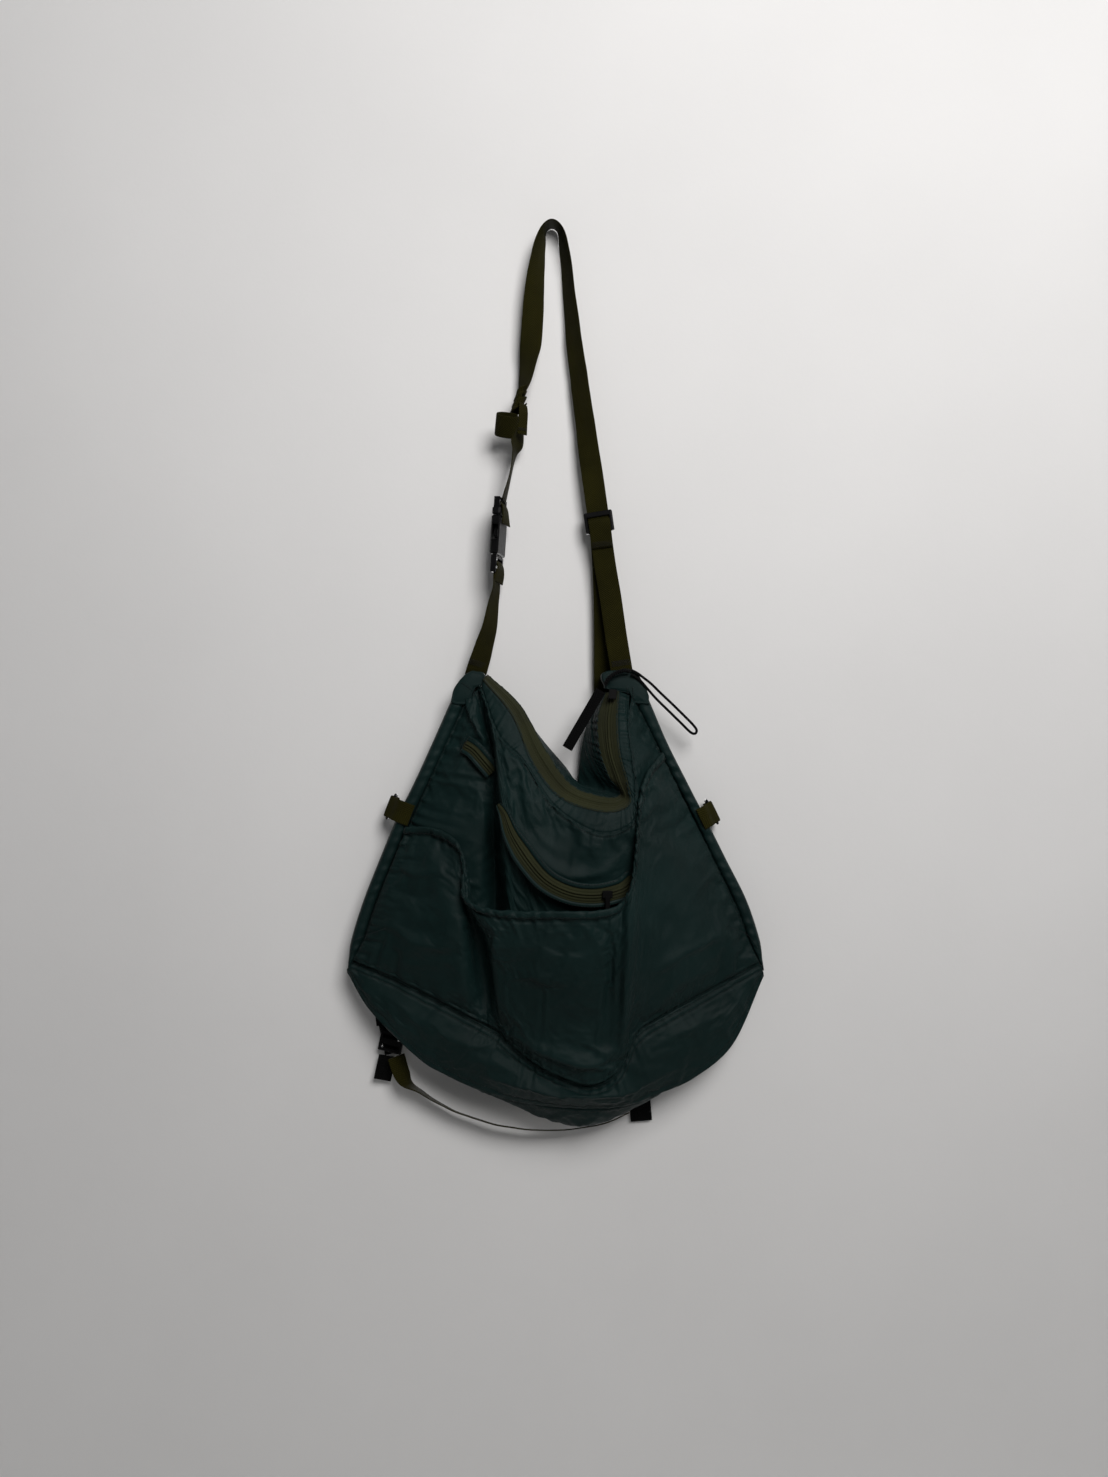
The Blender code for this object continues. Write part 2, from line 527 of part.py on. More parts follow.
def make_buckle():
    """A side-release buckle, seen almost edge-on. Its socket's mouth is at the frame's origin."""
    frame = frame_at(BUCKLE_CENTRE, BUCKLE_TURN, BUCKLE_TILT)
    wide, thick = BUCKLE_WIDTH, BUCKLE_THICKNESS
    socket = block("buckle_socket", (wide, thick, 44), (0, 0, -22), frame, "black_plastic", 1.6, 1)
    cavity = block("socket_cavity", (29.8, 6.8, 34), (0, 0, -15), frame)
    windows = block("socket_windows", (40, 6.8, 17), (0, 0, -19), frame)
    combine(socket, "DIFFERENCE", cavity, windows)
    ladder = block("buckle_ladder", (wide - 2, FRAME_THICKNESS, 20), (0, 0, -54.4), frame, "black_plastic", 0.8, 1)
    hole = (WEBBING_SLOT, THROUGH, WEBBING_SLOT_GAP)
    slots = [block(f"ladder_slot_{k}", hole, (0, 0, z), frame) for k, z in enumerate((-50, -58.8))]
    combine(ladder, "DIFFERENCE", *slots)
    plug = block("buckle_plug", (wide, thick, 9), (0, 0, 4.5 + CLEARANCE), frame, "black_plastic", bevel=2.2)
    guide = block("plug_guide", (6, PRONG_THICKNESS, 34), (0, 0, -12), frame)
    head = block("plug_head", (wide - 2, FRAME_THICKNESS, 14), (0, 0, 14), frame)
    head_slot = block("plug_slot", hole, (0, 0, 15.5), frame)
    combine(plug, "UNION", guide, head)
    combine(plug, "DIFFERENCE", head_slot)
    for name, side in (("buckle_prong_left", -1), ("buckle_prong_right", 1)):
        arm = block(name, (3.4, PRONG_THICKNESS, 25), (side * 9.2, 0, -12.9), frame, "black_plastic", bevel=0.6)
        catch = block(f"{name}_catch", (5.0, PRONG_THICKNESS, 9), (side * 10.5, 0, -19.5), frame)
        combine(arm, "UNION", catch)
        set_origin(arm, frame @ (Vector((side * 9.2, 0, -0.4)) * MM))


def make_side_loops():
    """Webbing tabs on the rim, each folded over one bar of a ring."""
    for side, ((x, z), angle, length) in SIDE_LOOPS.items():
        out = Vector((cos(radians(angle)), 0, sin(radians(angle))))
        along = out.cross(Vector((0, 1, 0)))
        start = at(x, z, 0)
        fold = (length, 21.0)  # the fold's centre: along the tab, and out from the wall
        fold_radius = 3.6
        first = 0 if side == "left" else 9
        profile = [(first, 36.4), (11, 36.4), (18, 34.5), (length - 3.5, 28.5)]
        turned = [radians(q) for q in (60, 15, -30, -75)]
        profile += [(fold[0] + fold_radius * cos(a), fold[1] + fold_radius * sin(a)) for a in turned]
        profile += [(length - 2.5, 16.6), (length - 5, 15)]
        path = [start + out * s * MM + Vector((0, -d * MM, 0)) for s, d in profile]
        strip(f"{side}_side_loop", path, along, WEBBING_WIDTH, WEBBING_THICKNESS, "olive_webbing")
        ring_centre = start + out * fold[0] * MM + Vector((0, -fold[1] * MM, 0))
        reach = 12.5
        half, bend = WEBBING_WIDTH / 2 + RING_WIRE / 2 + CLEARANCE, 1.8
        corners = [(half - bend, 0), (half, -bend), (half, bend - reach), (half - bend, -reach)]
        corners += [(-a, b) for a, b in reversed(corners)]
        wire = [ring_centre + along * a * MM + Vector((0, -b * MM, 0)) for a, b in corners]
        ring = tube(f"{side}_side_ring", wire, RING_WIRE, "black_plastic", sides=1, closed=True)
        for point in ring.data.splines[0].points:
            point.co = (*(Vector(point.co[:3]) - ring_centre), 1)
        ring.location = ring_centre


def make_pulls():
    """The main zip's slider with its cord and tab, and the second zip's slider and puller."""
    run = at(*SLIDER_TOP) - at(*SLIDER_BOTTOM)
    tilt = run.normalized()
    side = Vector((1, 0, 0)) - tilt.x * tilt
    frame = Matrix((side.normalized(), tilt.cross(side).normalized(), tilt)).transposed().to_4x4()
    frame = Matrix.Translation(at(*SLIDER_TOP)) @ frame
    slider = block("main_zip_slider", (9, 2.4, 12), (0, 0, 0), frame, "slider_metal", bevel=0.7)
    set_origin(slider, at(*SLIDER_TOP))
    tube("pull_wrap", [at(*p) for p in curve_points(PULL_WRAP, 3)], 5.2, "black_cord")
    tube("pull_cord", [at(*p) for p in curve_points(PULL_CORD, 3)], CORD_DIAMETER, "black_cord")
    top, end = at(*TAB_TOP), at(*TAB_END)
    path = [top.lerp(end, k / 4) for k in range(5)]
    width_axis = (end - top).cross(Vector((0, 1, 0)))
    pull_tab = strip("pull_tab", path, width_axis, TAB_WIDTH, TAB_THICKNESS, "black_webbing")
    set_origin(pull_tab, top)
    level = Matrix.Translation(at(*FRONT_SLIDER))
    front = block("front_zip_slider", (11, 2.0, 8), (0, 0, 0), level, "slider_metal", bevel=0.6)
    set_origin(front, at(*FRONT_SLIDER))
    puller = block("front_zip_puller", (5, 1.4, 24), (0, -2.6, -14), level, "black_cord", bevel=0.4)
    set_origin(puller, level @ (Vector((0, -2.6, -2)) * MM))


def make_bottom_straps():
    ribbon("bottom_strap", BOTTOM_STRAP, BOTTOM_WEBBING_WIDTH, WEBBING_THICKNESS, "olive_webbing")
    ribbon("bottom_strap_tail", BOTTOM_TAIL, BOTTOM_WEBBING_WIDTH, WEBBING_THICKNESS, "black_webbing", 1)
    ribbon("bottom_anchor", BOTTOM_ANCHOR, WEBBING_WIDTH, WEBBING_THICKNESS, "black_webbing", 2)
    ribbon("bottom_right_tab", RIGHT_TAB, WEBBING_WIDTH, WEBBING_THICKNESS, "black_webbing", 1)
    frame = frame_at(LADDER_CENTRE, -10, 12)
    lock = block("ladder_lock", (28, 5, 24), (0, 0, 0), frame, "black_plastic", bevel=1.2)
    hole = (BOTTOM_SLOT, THROUGH, 4.2)
    slots = [block(f"lock_slot_{k}", hole, (0, 0, z), frame) for k, z in enumerate((-5.5, 5.5))]
    combine(lock, "DIFFERENCE", *slots)
    set_origin(lock, frame @ (Vector((0, 0, 11)) * MM))


clear_scene()
BAG = new_collection("sling_bag")
CUTTERS = new_collection("cutters", hidden=True)
make_panels()
make_bands()
make_binding()
make_main_zip()
make_front_zip()
make_strap()
make_tri_glide()
make_buckle()
make_side_loops()
make_pulls()
make_bottom_straps()
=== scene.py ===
"""The looks of a soft nylon sling bag that hangs by its webbing strap against a wall.

Points of the bag are written (x, z, d) in millimetres: x to the viewer's right, z up, and d out from the
wall. at() turns them into the frame's metres. A surface is a grid of such points, with its rows down the
bag and its columns across.
"""

import json

from math import cos, pi, radians, sin

import bmesh
import bpy
import numpy as np
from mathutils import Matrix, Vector, noise

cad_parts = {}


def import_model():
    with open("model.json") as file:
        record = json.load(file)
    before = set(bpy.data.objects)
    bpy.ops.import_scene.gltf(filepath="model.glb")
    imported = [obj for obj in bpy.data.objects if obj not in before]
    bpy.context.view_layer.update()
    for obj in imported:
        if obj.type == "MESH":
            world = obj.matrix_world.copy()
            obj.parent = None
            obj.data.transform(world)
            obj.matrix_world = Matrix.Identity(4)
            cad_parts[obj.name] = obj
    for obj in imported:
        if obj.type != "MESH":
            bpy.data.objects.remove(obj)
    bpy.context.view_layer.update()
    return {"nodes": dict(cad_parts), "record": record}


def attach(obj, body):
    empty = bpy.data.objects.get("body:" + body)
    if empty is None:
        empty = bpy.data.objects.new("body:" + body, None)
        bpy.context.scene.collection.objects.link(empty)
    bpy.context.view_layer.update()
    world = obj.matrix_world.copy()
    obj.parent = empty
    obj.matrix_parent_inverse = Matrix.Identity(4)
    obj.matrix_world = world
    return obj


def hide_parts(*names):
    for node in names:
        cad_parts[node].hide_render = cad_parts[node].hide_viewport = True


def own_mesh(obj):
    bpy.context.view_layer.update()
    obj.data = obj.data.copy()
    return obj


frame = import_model()

MM = 0.001  # a millimetre, in metres
# Driving dimensions, in millimetres.
WALL_BEHIND_PEG_POINT = 14.0  # how far the wall is behind the strap's centre line
WEBBING_WIDTH = 25.0
WEBBING_THICKNESS = 1.5
BOTTOM_WEBBING_WIDTH = 20.0
BACK_PLANE = 8.0  # the flat back panel's distance from the wall
BINDING_WIDTH = 9.0
BINDING_THICKNESS = 3.0
CORD_DIAMETER = 3.0


# The front panel's cage. A row is a seam or level, a column is a fold line that runs down the bag:
# left rim, left middle, left end, valley, ridge of the cowl, four across the cowl, fold, and four to the
# right rim.
FRONT_CAGE = [
    [(-94, -549, 32), (-92, -547, 34), (-88, -543, 35), (-85, -540, 33), (-82, -537, 37), (-60, -593, 61),
     (-31, -621, 71), (2, -670, 82), (50, -699, 91), (88, -688, 89), (92, -655, 81), (89, -615, 70),
     (86, -575, 54), (88, -546, 36)],
    [(-106, -575, 32), (-97, -577, 43), (-83, -580, 50), (-75, -584, 42), (-71, -574, 62), (-60, -620, 74),
     (-42, -655, 81), (-4, -700, 88), (48, -728, 94), (86, -715, 90), (96, -680, 80), (98, -640, 68),
     (100, -610, 54), (110, -588, 32)],
    [(-119, -603, 32), (-100, -603, 46), (-78, -620, 52), (-67, -632, 48), (-63, -640, 79), (-53, -672, 85),
     (-38, -708, 89), (-8, -745, 93), (42, -767, 94), (78, -762, 88), (98, -735, 78), (108, -700, 66),
     (120, -670, 52), (140, -650, 32)],
    [(-189, -760, 33), (-140, -768, 50), (-84, -768, 50), (-64, -765, 34), (-54, -762, 76), (-44, -775, 80),
     (-26, -790, 82), (0, -805, 84), (42, -815, 84), (80, -812, 80), (104, -800, 72), (130, -790, 60),
     (160, -783, 50), (204, -779, 33)],
    [(-211, -820, 33), (-160, -842, 48), (-90, -856, 48), (-66, -858, 42), (-52, -860, 58), (-42, -868, 66),
     (-24, -880, 70), (0, -888, 72), (42, -893, 72), (80, -890, 70), (106, -880, 66), (135, -866, 60),
     (170, -848, 50), (221, -824, 33)],
    [(-223, -847, 32), (-171, -868, 44), (-95, -903, 58), (-70, -915, 60), (-62, -920, 62), (-50, -930, 66),
     (-30, -947, 70), (0, -963, 75), (42, -975, 79), (74, -958, 78), (92, -922, 71), (128, -900, 63),
     (165, -883, 52), (232, -849, 32)],
]

# The main zip's edges, from the left corner down the V and up its right branch. The first is sewn to the
# front top strip, and the second to the back top strip.
ZIP_FRONT_EDGE = [
    (-78, -527, 38), (-44, -568, 55), (-19, -624, 67), (12, -660, 76), (58, -674, 84), (84, -666, 83),
    (82, -642, 77), (74, -611, 68), (72, -574, 54), (75, -541, 38),
]
ZIP_BACK_EDGE = [
    (-74, -521, 18), (-36, -557, 36), (-7, -608, 50), (22, -647, 58), (60, -660, 64), (76, -656, 64),
    (64, -638, 60), (54, -608, 50), (52, -573, 40), (61, -542, 28),
]
# Where the cloth behind the zip turns down into the back panel.
BACK_FOLD = [
    (-72, -524, 12), (-38, -562, 13), (-8, -600, 14), (16, -628, 16), (28, -646, 18), (30, -643, 18),
    (32, -622, 17), (35, -600, 16), (42, -574, 14), (56, -547, 13),
]

# The pocket panel's cage, with the front panel's columns. Its first row is the mouth.
POCKET_CAGE = [
    [(-163, -698, 39), (-134, -698, 51), (-106, -711, 66), (-96, -736, 76), (-96, -765, 86), (-78, -779, 97),
     (-40, -783, 108), (0, -782, 114), (50, -781, 116), (76, -770, 110), (88, -722, 99), (95, -670, 88),
     (105, -636, 72), (122, -614, 39)],
    [(-195, -778, 39), (-150, -795, 60), (-102, -820, 74), (-78, -832, 58), (-59, -838, 88), (-45, -838, 98),
     (-22, -838, 103), (5, -838, 106), (48, -838, 108), (75, -835, 110), (96, -815, 99), (118, -790, 86),
     (150, -760, 66), (187, -748, 39)],
    [(-210, -822, 39), (-165, -838, 58), (-100, -868, 72), (-72, -880, 60), (-56, -885, 82), (-44, -888, 90),
     (-22, -892, 94), (5, -895, 96), (48, -895, 98), (76, -890, 101), (98, -872, 92), (130, -850, 82),
     (172, -830, 64), (221, -826, 39)],
    [(-223, -847, 38), (-171, -866, 50), (-97, -900, 64), (-72, -912, 65), (-58, -918, 70), (-48, -928, 74),
     (-28, -945, 78), (0, -961, 82), (42, -973, 86), (73, -956, 86), (92, -919, 78), (128, -897, 70),
     (165, -880, 58), (232, -848, 38)],
]

# The base panel from the base seam to the bottom edge, and the rear base panel from there to the back.
BASE_CAGE = [
    [(-227, -851, 33), (-173, -872, 45), (-97, -906, 60), (-73, -918, 63), (-59, -924, 65), (-49, -934, 69),
     (-29, -951, 73), (0, -967, 78), (42, -979, 81), (75, -962, 81), (93, -925, 74), (129, -903, 66),
     (166, -886, 55), (235, -852, 33)],
    [(-231, -856, 34), (-192, -887, 46), (-122, -932, 60), (-95, -945, 66), (-78, -953, 70), (-60, -963, 73),
     (-34, -976, 76), (0, -987, 79), (43, -993, 82), (80, -984, 80), (108, -959, 74), (146, -939, 66),
     (188, -913, 54), (238, -858, 34)],
    [(-232, -862, 30), (-206, -905, 37), (-150, -956, 47), (-118, -973, 53), (-95, -983, 56), (-70, -991, 59),
     (-40, -999, 62), (0, -1004, 65), (45, -1006, 66), (85, -1003, 64), (120, -991, 60), (160, -975, 54),
     (205, -940, 43), (240, -866, 30)],
]
REAR_BASE_CAGE = [
    [(-226, -866, 18), (-200, -905, 22), (-145, -958, 28), (-112, -978, 32), (-88, -990, 35),
     (-62, -1001, 38), (-34, -1014, 40), (0, -1030, 41), (40, -1036, 42), (80, -1022, 40), (116, -1000, 36),
     (156, -976, 30), (200, -938, 24), (234, -868, 18)],
    [(-222, -866, 12), (-196, -901, 12), (-140, -952, 12), (-108, -971, 12), (-86, -981, 12), (-60, -991, 12),
     (-32, -1001, 12), (0, -1011, 12), (40, -1016, 12), (78, -1004, 12), (112, -986, 12), (150, -966, 12),
     (196, -932, 12), (230, -866, 12)],
]
BACK_CAGE = [
    [(-93, -548), (-80, -536), (-38, -568), (-8, -606), (29, -654), (37, -606), (58, -552), (88, -548)],
    [(-134, -640), (-95, -650), (-50, -670), (-10, -690), (30, -705), (60, -685), (100, -660), (134, -642)],
    [(-183, -748), (-125, -752), (-70, -757), (-20, -762), (30, -767), (85, -762), (140, -755), (188, -748)],
    [(-211, -832), (-150, -860), (-90, -870), (-25, -880), (35, -880), (100, -870), (160, -860), (220, -832)],
    [(-218, -858), (-165, -922), (-100, -964), (-35, -988), (35, -1002), (105, -978), (170, -942),
     (226, -856)],
]

# The edge bands: the seam with the front panel, and the outermost line.
LEFT_BAND_SEAM = [(-98, -552), (-118, -597), (-139, -642), (-161, -688), (-180, -733), (-199, -779),
                  (-214, -824), (-226, -848)]
LEFT_BAND_RIM = [(-115, -550), (-136, -597), (-157, -643), (-179, -688), (-198, -734), (-216, -780),
                 (-230, -825), (-233, -849)]
RIGHT_BAND_SEAM = [(93, -552), (116, -597), (138, -642), (162, -688), (183, -733), (206, -779),
                   (223, -824), (235, -848)]
RIGHT_BAND_RIM = [(111, -550), (131, -597), (154, -643), (177, -688), (200, -734), (223, -780),
                  (238, -825), (241, -849)]
BAND_FRONT, BAND_BACK = 33.0, 10.0

LEFT_PATCH = [(-84, -533), (-83, -522), (-92, -519), (-104, -528), (-114, -546), (-98, -548)]
RIGHT_PATCH = [(66, -538), (64, -521), (93, -519), (103, -532), (110, -547), (94, -547), (88, -541)]
PATCH_FRONT, PATCH_BACK = 35.0, 10.0

# The second zip's centre line, in two stretches: left of the ridge, and across the cowl.
FRONT_ZIP_LEFT = [(-99, -601, 50), (-88, -608, 54), (-77, -620, 57)]
FRONT_ZIP = [(-52, -678, 90), (-43, -701, 94), (-24, -730, 97), (-5, -750, 99), (20, -762, 100),
             (45, -765, 100), (66, -762, 97)]
FRONT_ZIP_WIDTH = 22.0

# The webbing's centre line and the turn of its width out of the wall's plane, in degrees.
STRAP_UPPER = [
    (-36, -203, 24, -68), (-31, -185, 22, -52), (-27, -160, 20, -34), (-24, -135, 18, 0), (-22, -105, 17, 12),
    (-20, -75, 16, 30), (-16, -38, 14.5, 52), (-12.5, -18, 14, 66), (-8, -5, 14, 84), (0, 0, 14, 90),
    (8, -5, 14, 96), (12.5, -20, 14, 110), (16.5, -50, 14.5, 118), (20, -86, 16, 123), (25, -135, 18, 134),
    (31, -180, 18.5, 141), (37, -224, 19, 148), (42, -262, 19.5, 160), (47, -296, 20, 172),
    (54, -346, 21, 172), (61, -396, 22, 172), (67, -432, 23.5, 177), (73, -475, 26, 180), (79, -514, 30, 180),
]
STRAP_RETURN = [(56.5, -361, 17, -8), (58.5, -388, 14.5, -4), (60.5, -430, 13, 0), (61, -480, 12, 0),
                (61, -514, 11.5, 0)]
STRAP_LEFT_ANCHOR = [
    (-63.5, -409, 27, 78), (-64, -424, 26, 74), (-68, -445, 24, 62), (-72, -468, 22, 50), (-79, -492, 21, 34),
    (-86, -515, 21, 20),
]
# The link has its edge to the viewer at both ends, and opens a little between them, like a leaf.
STRAP_LINK = [(-36.5, -217.5, 25, 90), (-36, -238, 25, 78), (-40, -256, 25.5, 58), (-43, -268, 26, 82),
              (-47, -290, 27, 90), (-54, -319, 28, 84)]
SQUARE_PLY = [(-32.5, -213, 29, 50), (-32.5, -224, 33, 36), (-33.5, -237, 34, 30), (-34, -249, 34, 26)]
GLIDE_SEWN_PLY = [(53.8, -344, 24.2, 172), (54.6, -350, 25.8, 172), (56, -361, 25.4, 172),
                  (57.9, -376, 23.7, 172)]
# The folded ends beside the buckle's plug and its ladder end.
PLUG_WEBBING = [(-59, -325, 27, 78), (-56.5, -326.5, 27, 78), (-53.8, -332, 27, 78), (-52.6, -341, 27, 76),
                (-52.4, -351, 27, 72)]
LADDER_WEBBING = [(-63, -392, 27, 78), (-60.4, -394.5, 27, 78), (-58.8, -400, 27, 76), (-59.6, -408, 27, 70),
                  (-61.8, -417, 27, 66)]

BOTTOM_STRAP = [
    (-180, -962, 16, 15), (-174, -980, 17, 25), (-166, -993, 18, 50), (-150, -1003, 19, 70),
    (-126, -1017, 20, 82), (-100, -1028, 22, 86), (-49, -1040.5, 26, 86), (9, -1043, 28, 86),
    (60, -1036, 26, 86), (88, -1026, 20, 86),
]
BOTTOM_TAIL = [(-191, -963, 9, 8), (-194, -977, 9, 8), (-197, -991, 10, 8)]
BOTTOM_ANCHOR = [(-190, -872, 5, -6), (-195, -900, 5.5, -6), (-192, -928, 8, -10)]
LOCK_WEBBING = [(-192, -926, 8.4, -10), (-188, -943, 8.6, 0), (-184, -960, 9.5, 5)]
# A strip inside the right corner, so that the wall doesn't show between the patch and the front panel.
CORNER_LINING = [(86, -530, 19, 0), (86, -546, 19, 0), (86, -562, 19, 0)]
RIGHT_TAB = [(100, -996, 6, 0), (102, -1016, 5.5, 0), (104, -1040, 5.5, 0)]

PULL_WRAP = [(60, -534, 45), (64, -527, 46), (72, -521, 45), (82, -518, 44), (88, -519, 42)]
PULL_CORD = [
    (90, -517.5, 40.5), (97, -521, 39), (104, -526, 37.5), (113, -533, 36), (124, -543.5, 34),
    (138, -556.5, 32), (151, -569, 30), (161, -579, 28.5), (165.5, -585.5, 28), (163.5, -589.5, 28),
    (158, -587.5, 28.5), (147, -577, 30), (133, -563.5, 32), (118.5, -549.5, 34), (109, -539, 36),
    (101, -530, 37.5), (94, -524.5, 39), (89.5, -522.5, 40.5),
]
TAB_TOP, TAB_END = (55, -541, 46), (17, -606, 60)
TAB_WIDTH, TAB_THICKNESS = 12.0, 2.2

# A side loop's sewn end, the way that it points, and its length to the ring's bar.
SIDE_LOOPS = {"left": ((-160, -683), 159.0, 27.0), "right": ((161, -691), 26.0, 26.0)}

CLOTH = 1.1  # a panel's shown thickness
ZIP_CLOTH = 0.7
WEBBING_SIDES = 22  # points round a webbing's cross-section
STITCH_PITCH, STITCH_LIFT = 3.4, 0.15
ROUND_UV = 0.01  # once round a cord, on its UV map
THREAD = 0.7
ZIP_ROWS = 61  # points across a zip's relief
OUTWARDS = (0.0, -1.0, 0.0)  # straight out of the wall, in the frame's axes
CAMERA_PLACE = (0.0023, -1.286, -0.595)
CAMERA_LENS, CAMERA_SENSOR = 27.1, 36.0
ROOM_LIGHT = 0.095
BACKDROP_LIGHT = 0.75

FOLD_DEPTH = 1.3  # times the heights below, on the front panel and the pocket
# Creases pressed into the panels: points (x, z), height, width, and how much sharper one side is.
FRONT_FOLDS = [
    ([(18, -688), (45, -699), (78, -689)], 2.2, 5.0, 0.0),
    ([(24, -702), (50, -709), (76, -698)], 1.8, 5.0, 0.0),
    ([(-30, -700), (-10, -727), (8, -740), (26, -745), (45, -742), (63, -734), (84, -716)], 3.2, 7.0, 0.3),
    ([(-101, -540), (-90, -570), (-77, -602)], 3.2, 5.0, 0.3),
    ([(-112, -594), (-104, -606), (-92, -612)], -1.6, 4.0, 0.0),
    ([(-98, -575), (-101, -592), (-103, -606)], 1.5, 4.0, 0.0),
    ([(-124, -612), (-110, -606), (-100, -603)], 1.6, 4.0, 0.2),
    ([(-118, -640), (-104, -625), (-94, -615)], 1.5, 5.0, 0.2),
    ([(-48, -560), (-52, -605), (-44, -650)], 2.0, 6.0, 0.2),
    ([(-34, -606), (-22, -650), (4, -690)], -1.8, 6.0, 0.2),
    ([(-30, -660), (-14, -700), (14, -722)], 1.6, 6.0, 0.0),
    ([(-44, -600), (-30, -655), (-24, -690)], 1.6, 8.0, 0.0),
    ([(-20, -650), (-6, -700)], 1.4, 8.0, 0.0),
]
POCKET_FOLDS = [
    ([(84, -690), (81, -780), (79, -870), (76, -945)], 6.5, 5.5, 0.4),
    ([(66, -800), (64, -870), (62, -935)], -3.0, 7.0, 0.0),
    ([(-44, -915), (0, -938), (42, -948), (72, -930)], 4.0, 9.0, 0.2),
    ([(-62, -800), (-60, -850), (-52, -915)], 2.6, 5.0, 0.3),
    ([(-82, -800), (-78, -850), (-70, -900)], -3.5, 9.0, 0.0),
    ([(-20, -806), (10, -822), (38, -818), (60, -800)], -1.8, 8.0, 0.3),
    ([(-40, -845), (0, -856), (45, -852)], 1.4, 9.0, 0.0),
    ([(-172, -742), (-150, -748), (-120, -744)], 1.8, 5.0, 0.3),
    ([(-180, -765), (-150, -772), (-128, -768)], -1.8, 6.0, 0.0),
    ([(-140, -720), (-120, -760), (-110, -820)], 1.8, 12.0, 0.0),
    ([(-190, -800), (-150, -822), (-110, -826)], 1.8, 7.0, 0.2),
    ([(-200, -835), (-160, -812), (-120, -806)], -1.6, 8.0, 0.0),
    ([(120, -700), (150, -780), (160, -850)], 1.8, 14.0, 0.0),
    ([(108, -850), (150, -828), (200, -812)], 2.0, 6.0, 0.3),
    ([(100, -905), (135, -868), (180, -850)], 1.8, 7.0, 0.2),
    ([(100, -780), (128, -800), (140, -840)], -1.6, 10.0, 0.0),
]
# The short seams at the bottom corners, as narrow folds pressed inwards, with a row of stitches.
DARTS = {"left": [(-224, -823, 42.5), (-205, -815, 48), (-186, -808, 53)],
         "right": [(236, -836, 42), (220, -816, 48), (198, -806, 54)]}
DART_DEPTH, DART_WIDTH = 1.3, 1.6
BASE_FOLDS = [
    ([(-80, -968), (-35, -977), (10, -986), (52, -986), (82, -983), (110, -972), (140, -960)], 3.4, 5.0, 0.3),
    ([(-64, -940), (-20, -964), (30, -980), (74, -970)], -4.5, 5.5, 0.0),
    ([(-190, -880), (-140, -920), (-100, -950)], 1.6, 8.0, 0.0),
    ([(-150, -905), (-110, -930), (-80, -936), (-62, -926)], 1.6, 6.0, 0.2),
    ([(110, -935), (150, -920), (190, -900)], 1.6, 7.0, 0.2),
    ([(95, -955), (125, -950), (150, -935)], -1.5, 6.0, 0.0),
]


# ---- points, curves and grids, in (x, z, d) millimetres ----

def at(x, z, d):
    """A point of the bag in the frame's metres."""
    return Vector((x, WALL_BEHIND_PEG_POINT - d, z)) * MM


def world(points):
    """An array of bag points in the frame's metres."""
    points = np.asarray(points, float)
    return np.stack([points[..., 0], WALL_BEHIND_PEG_POINT - points[..., 2], points[..., 1]], axis=-1) * MM


def direction(ways):
    """The directions (x, z, d), along the frame's axes."""
    return world(ways) - world(np.zeros(3))


def bell(value, width):
    """1 where the value is 0, and less on both sides of it, over about that width."""
    return np.exp(-(value / width) ** 2)


def rounded(value, power):
    """The value with its size raised to a power, which squares off a circle's sine and cosine."""
    return np.sign(value) * abs(value) ** power


def spline(points, t):
    """The smooth curve through the points at each t, which counts them from 0."""
    points, t = np.asarray(points, float), np.asarray(t, float)
    last = len(points) - 1
    padded = np.concatenate([[2 * points[0] - points[1]], points, [2 * points[-1] - points[-2]]])
    i = np.clip(t.astype(int), 0, last - 1)
    f = (t - i).reshape(-1, *[1] * (points.ndim - 1))
    p0, p1, p2, p3 = (padded[i + k] for k in range(4))
    return 0.5 * (2 * p1 + (p2 - p0) * f + (2 * p0 - 5 * p1 + 4 * p2 - p3) * f * f
                  + (3 * p1 - p0 - 3 * p2 + p3) * f ** 3)


def smooth_line(points, each):
    """Points on the smooth curve, with that many steps from each given point to the next."""
    return spline(points, np.arange((len(points) - 1) * each + 1) / each)


def lengths(points, axis=0):
    """The distance along the points from the first one."""
    steps = np.linalg.norm(np.diff(points, axis=axis), axis=-1)
    start = np.zeros_like(np.take(steps, [0], axis=axis))
    return np.concatenate([start, np.cumsum(steps, axis=axis)], axis=axis)


def sampled(points, s, goal):
    """The line's value at the goal, where s is the distance along it of each of its points."""
    return np.stack([np.interp(goal, s, points[:, k]) for k in range(3)], axis=-1)


def even_line(points, step):
    """The same line with evenly spaced points, about that far apart."""
    s = lengths(points)
    return sampled(points, s, np.linspace(0, s[-1], max(int(round(s[-1] / step)), 2) + 1))


def surface(rows, across, down):
    """A grid on the smooth surface through a cage, with that many steps between its columns and rows."""
    wide = np.stack([smooth_line(row, across) for row in rows])
    return smooth_line(wide, down)


def evened(grid):
    """The grid with its points evenly spaced down each column."""
    columns = []
    for column in np.moveaxis(grid, 1, 0):
        s = lengths(column)
        columns.append(sampled(column, s, np.linspace(0, s[-1], len(column))))
    return np.stack(columns, axis=1)


def refine(grid):
    """The grid with one more point between each two, on the same smooth surface."""
    return smooth_line(np.moveaxis(smooth_line(np.moveaxis(grid, 1, 0), 2), 1, 0), 2)


def unit(vectors):
    return vectors / np.maximum(np.linalg.norm(vectors, axis=-1, keepdims=True), 1e-9)


def normals(grid):
    """Unit vectors out of a grid whose columns go right and whose rows go down."""
    return unit(np.cross(np.gradient(grid, axis=0), np.gradient(grid, axis=1)))


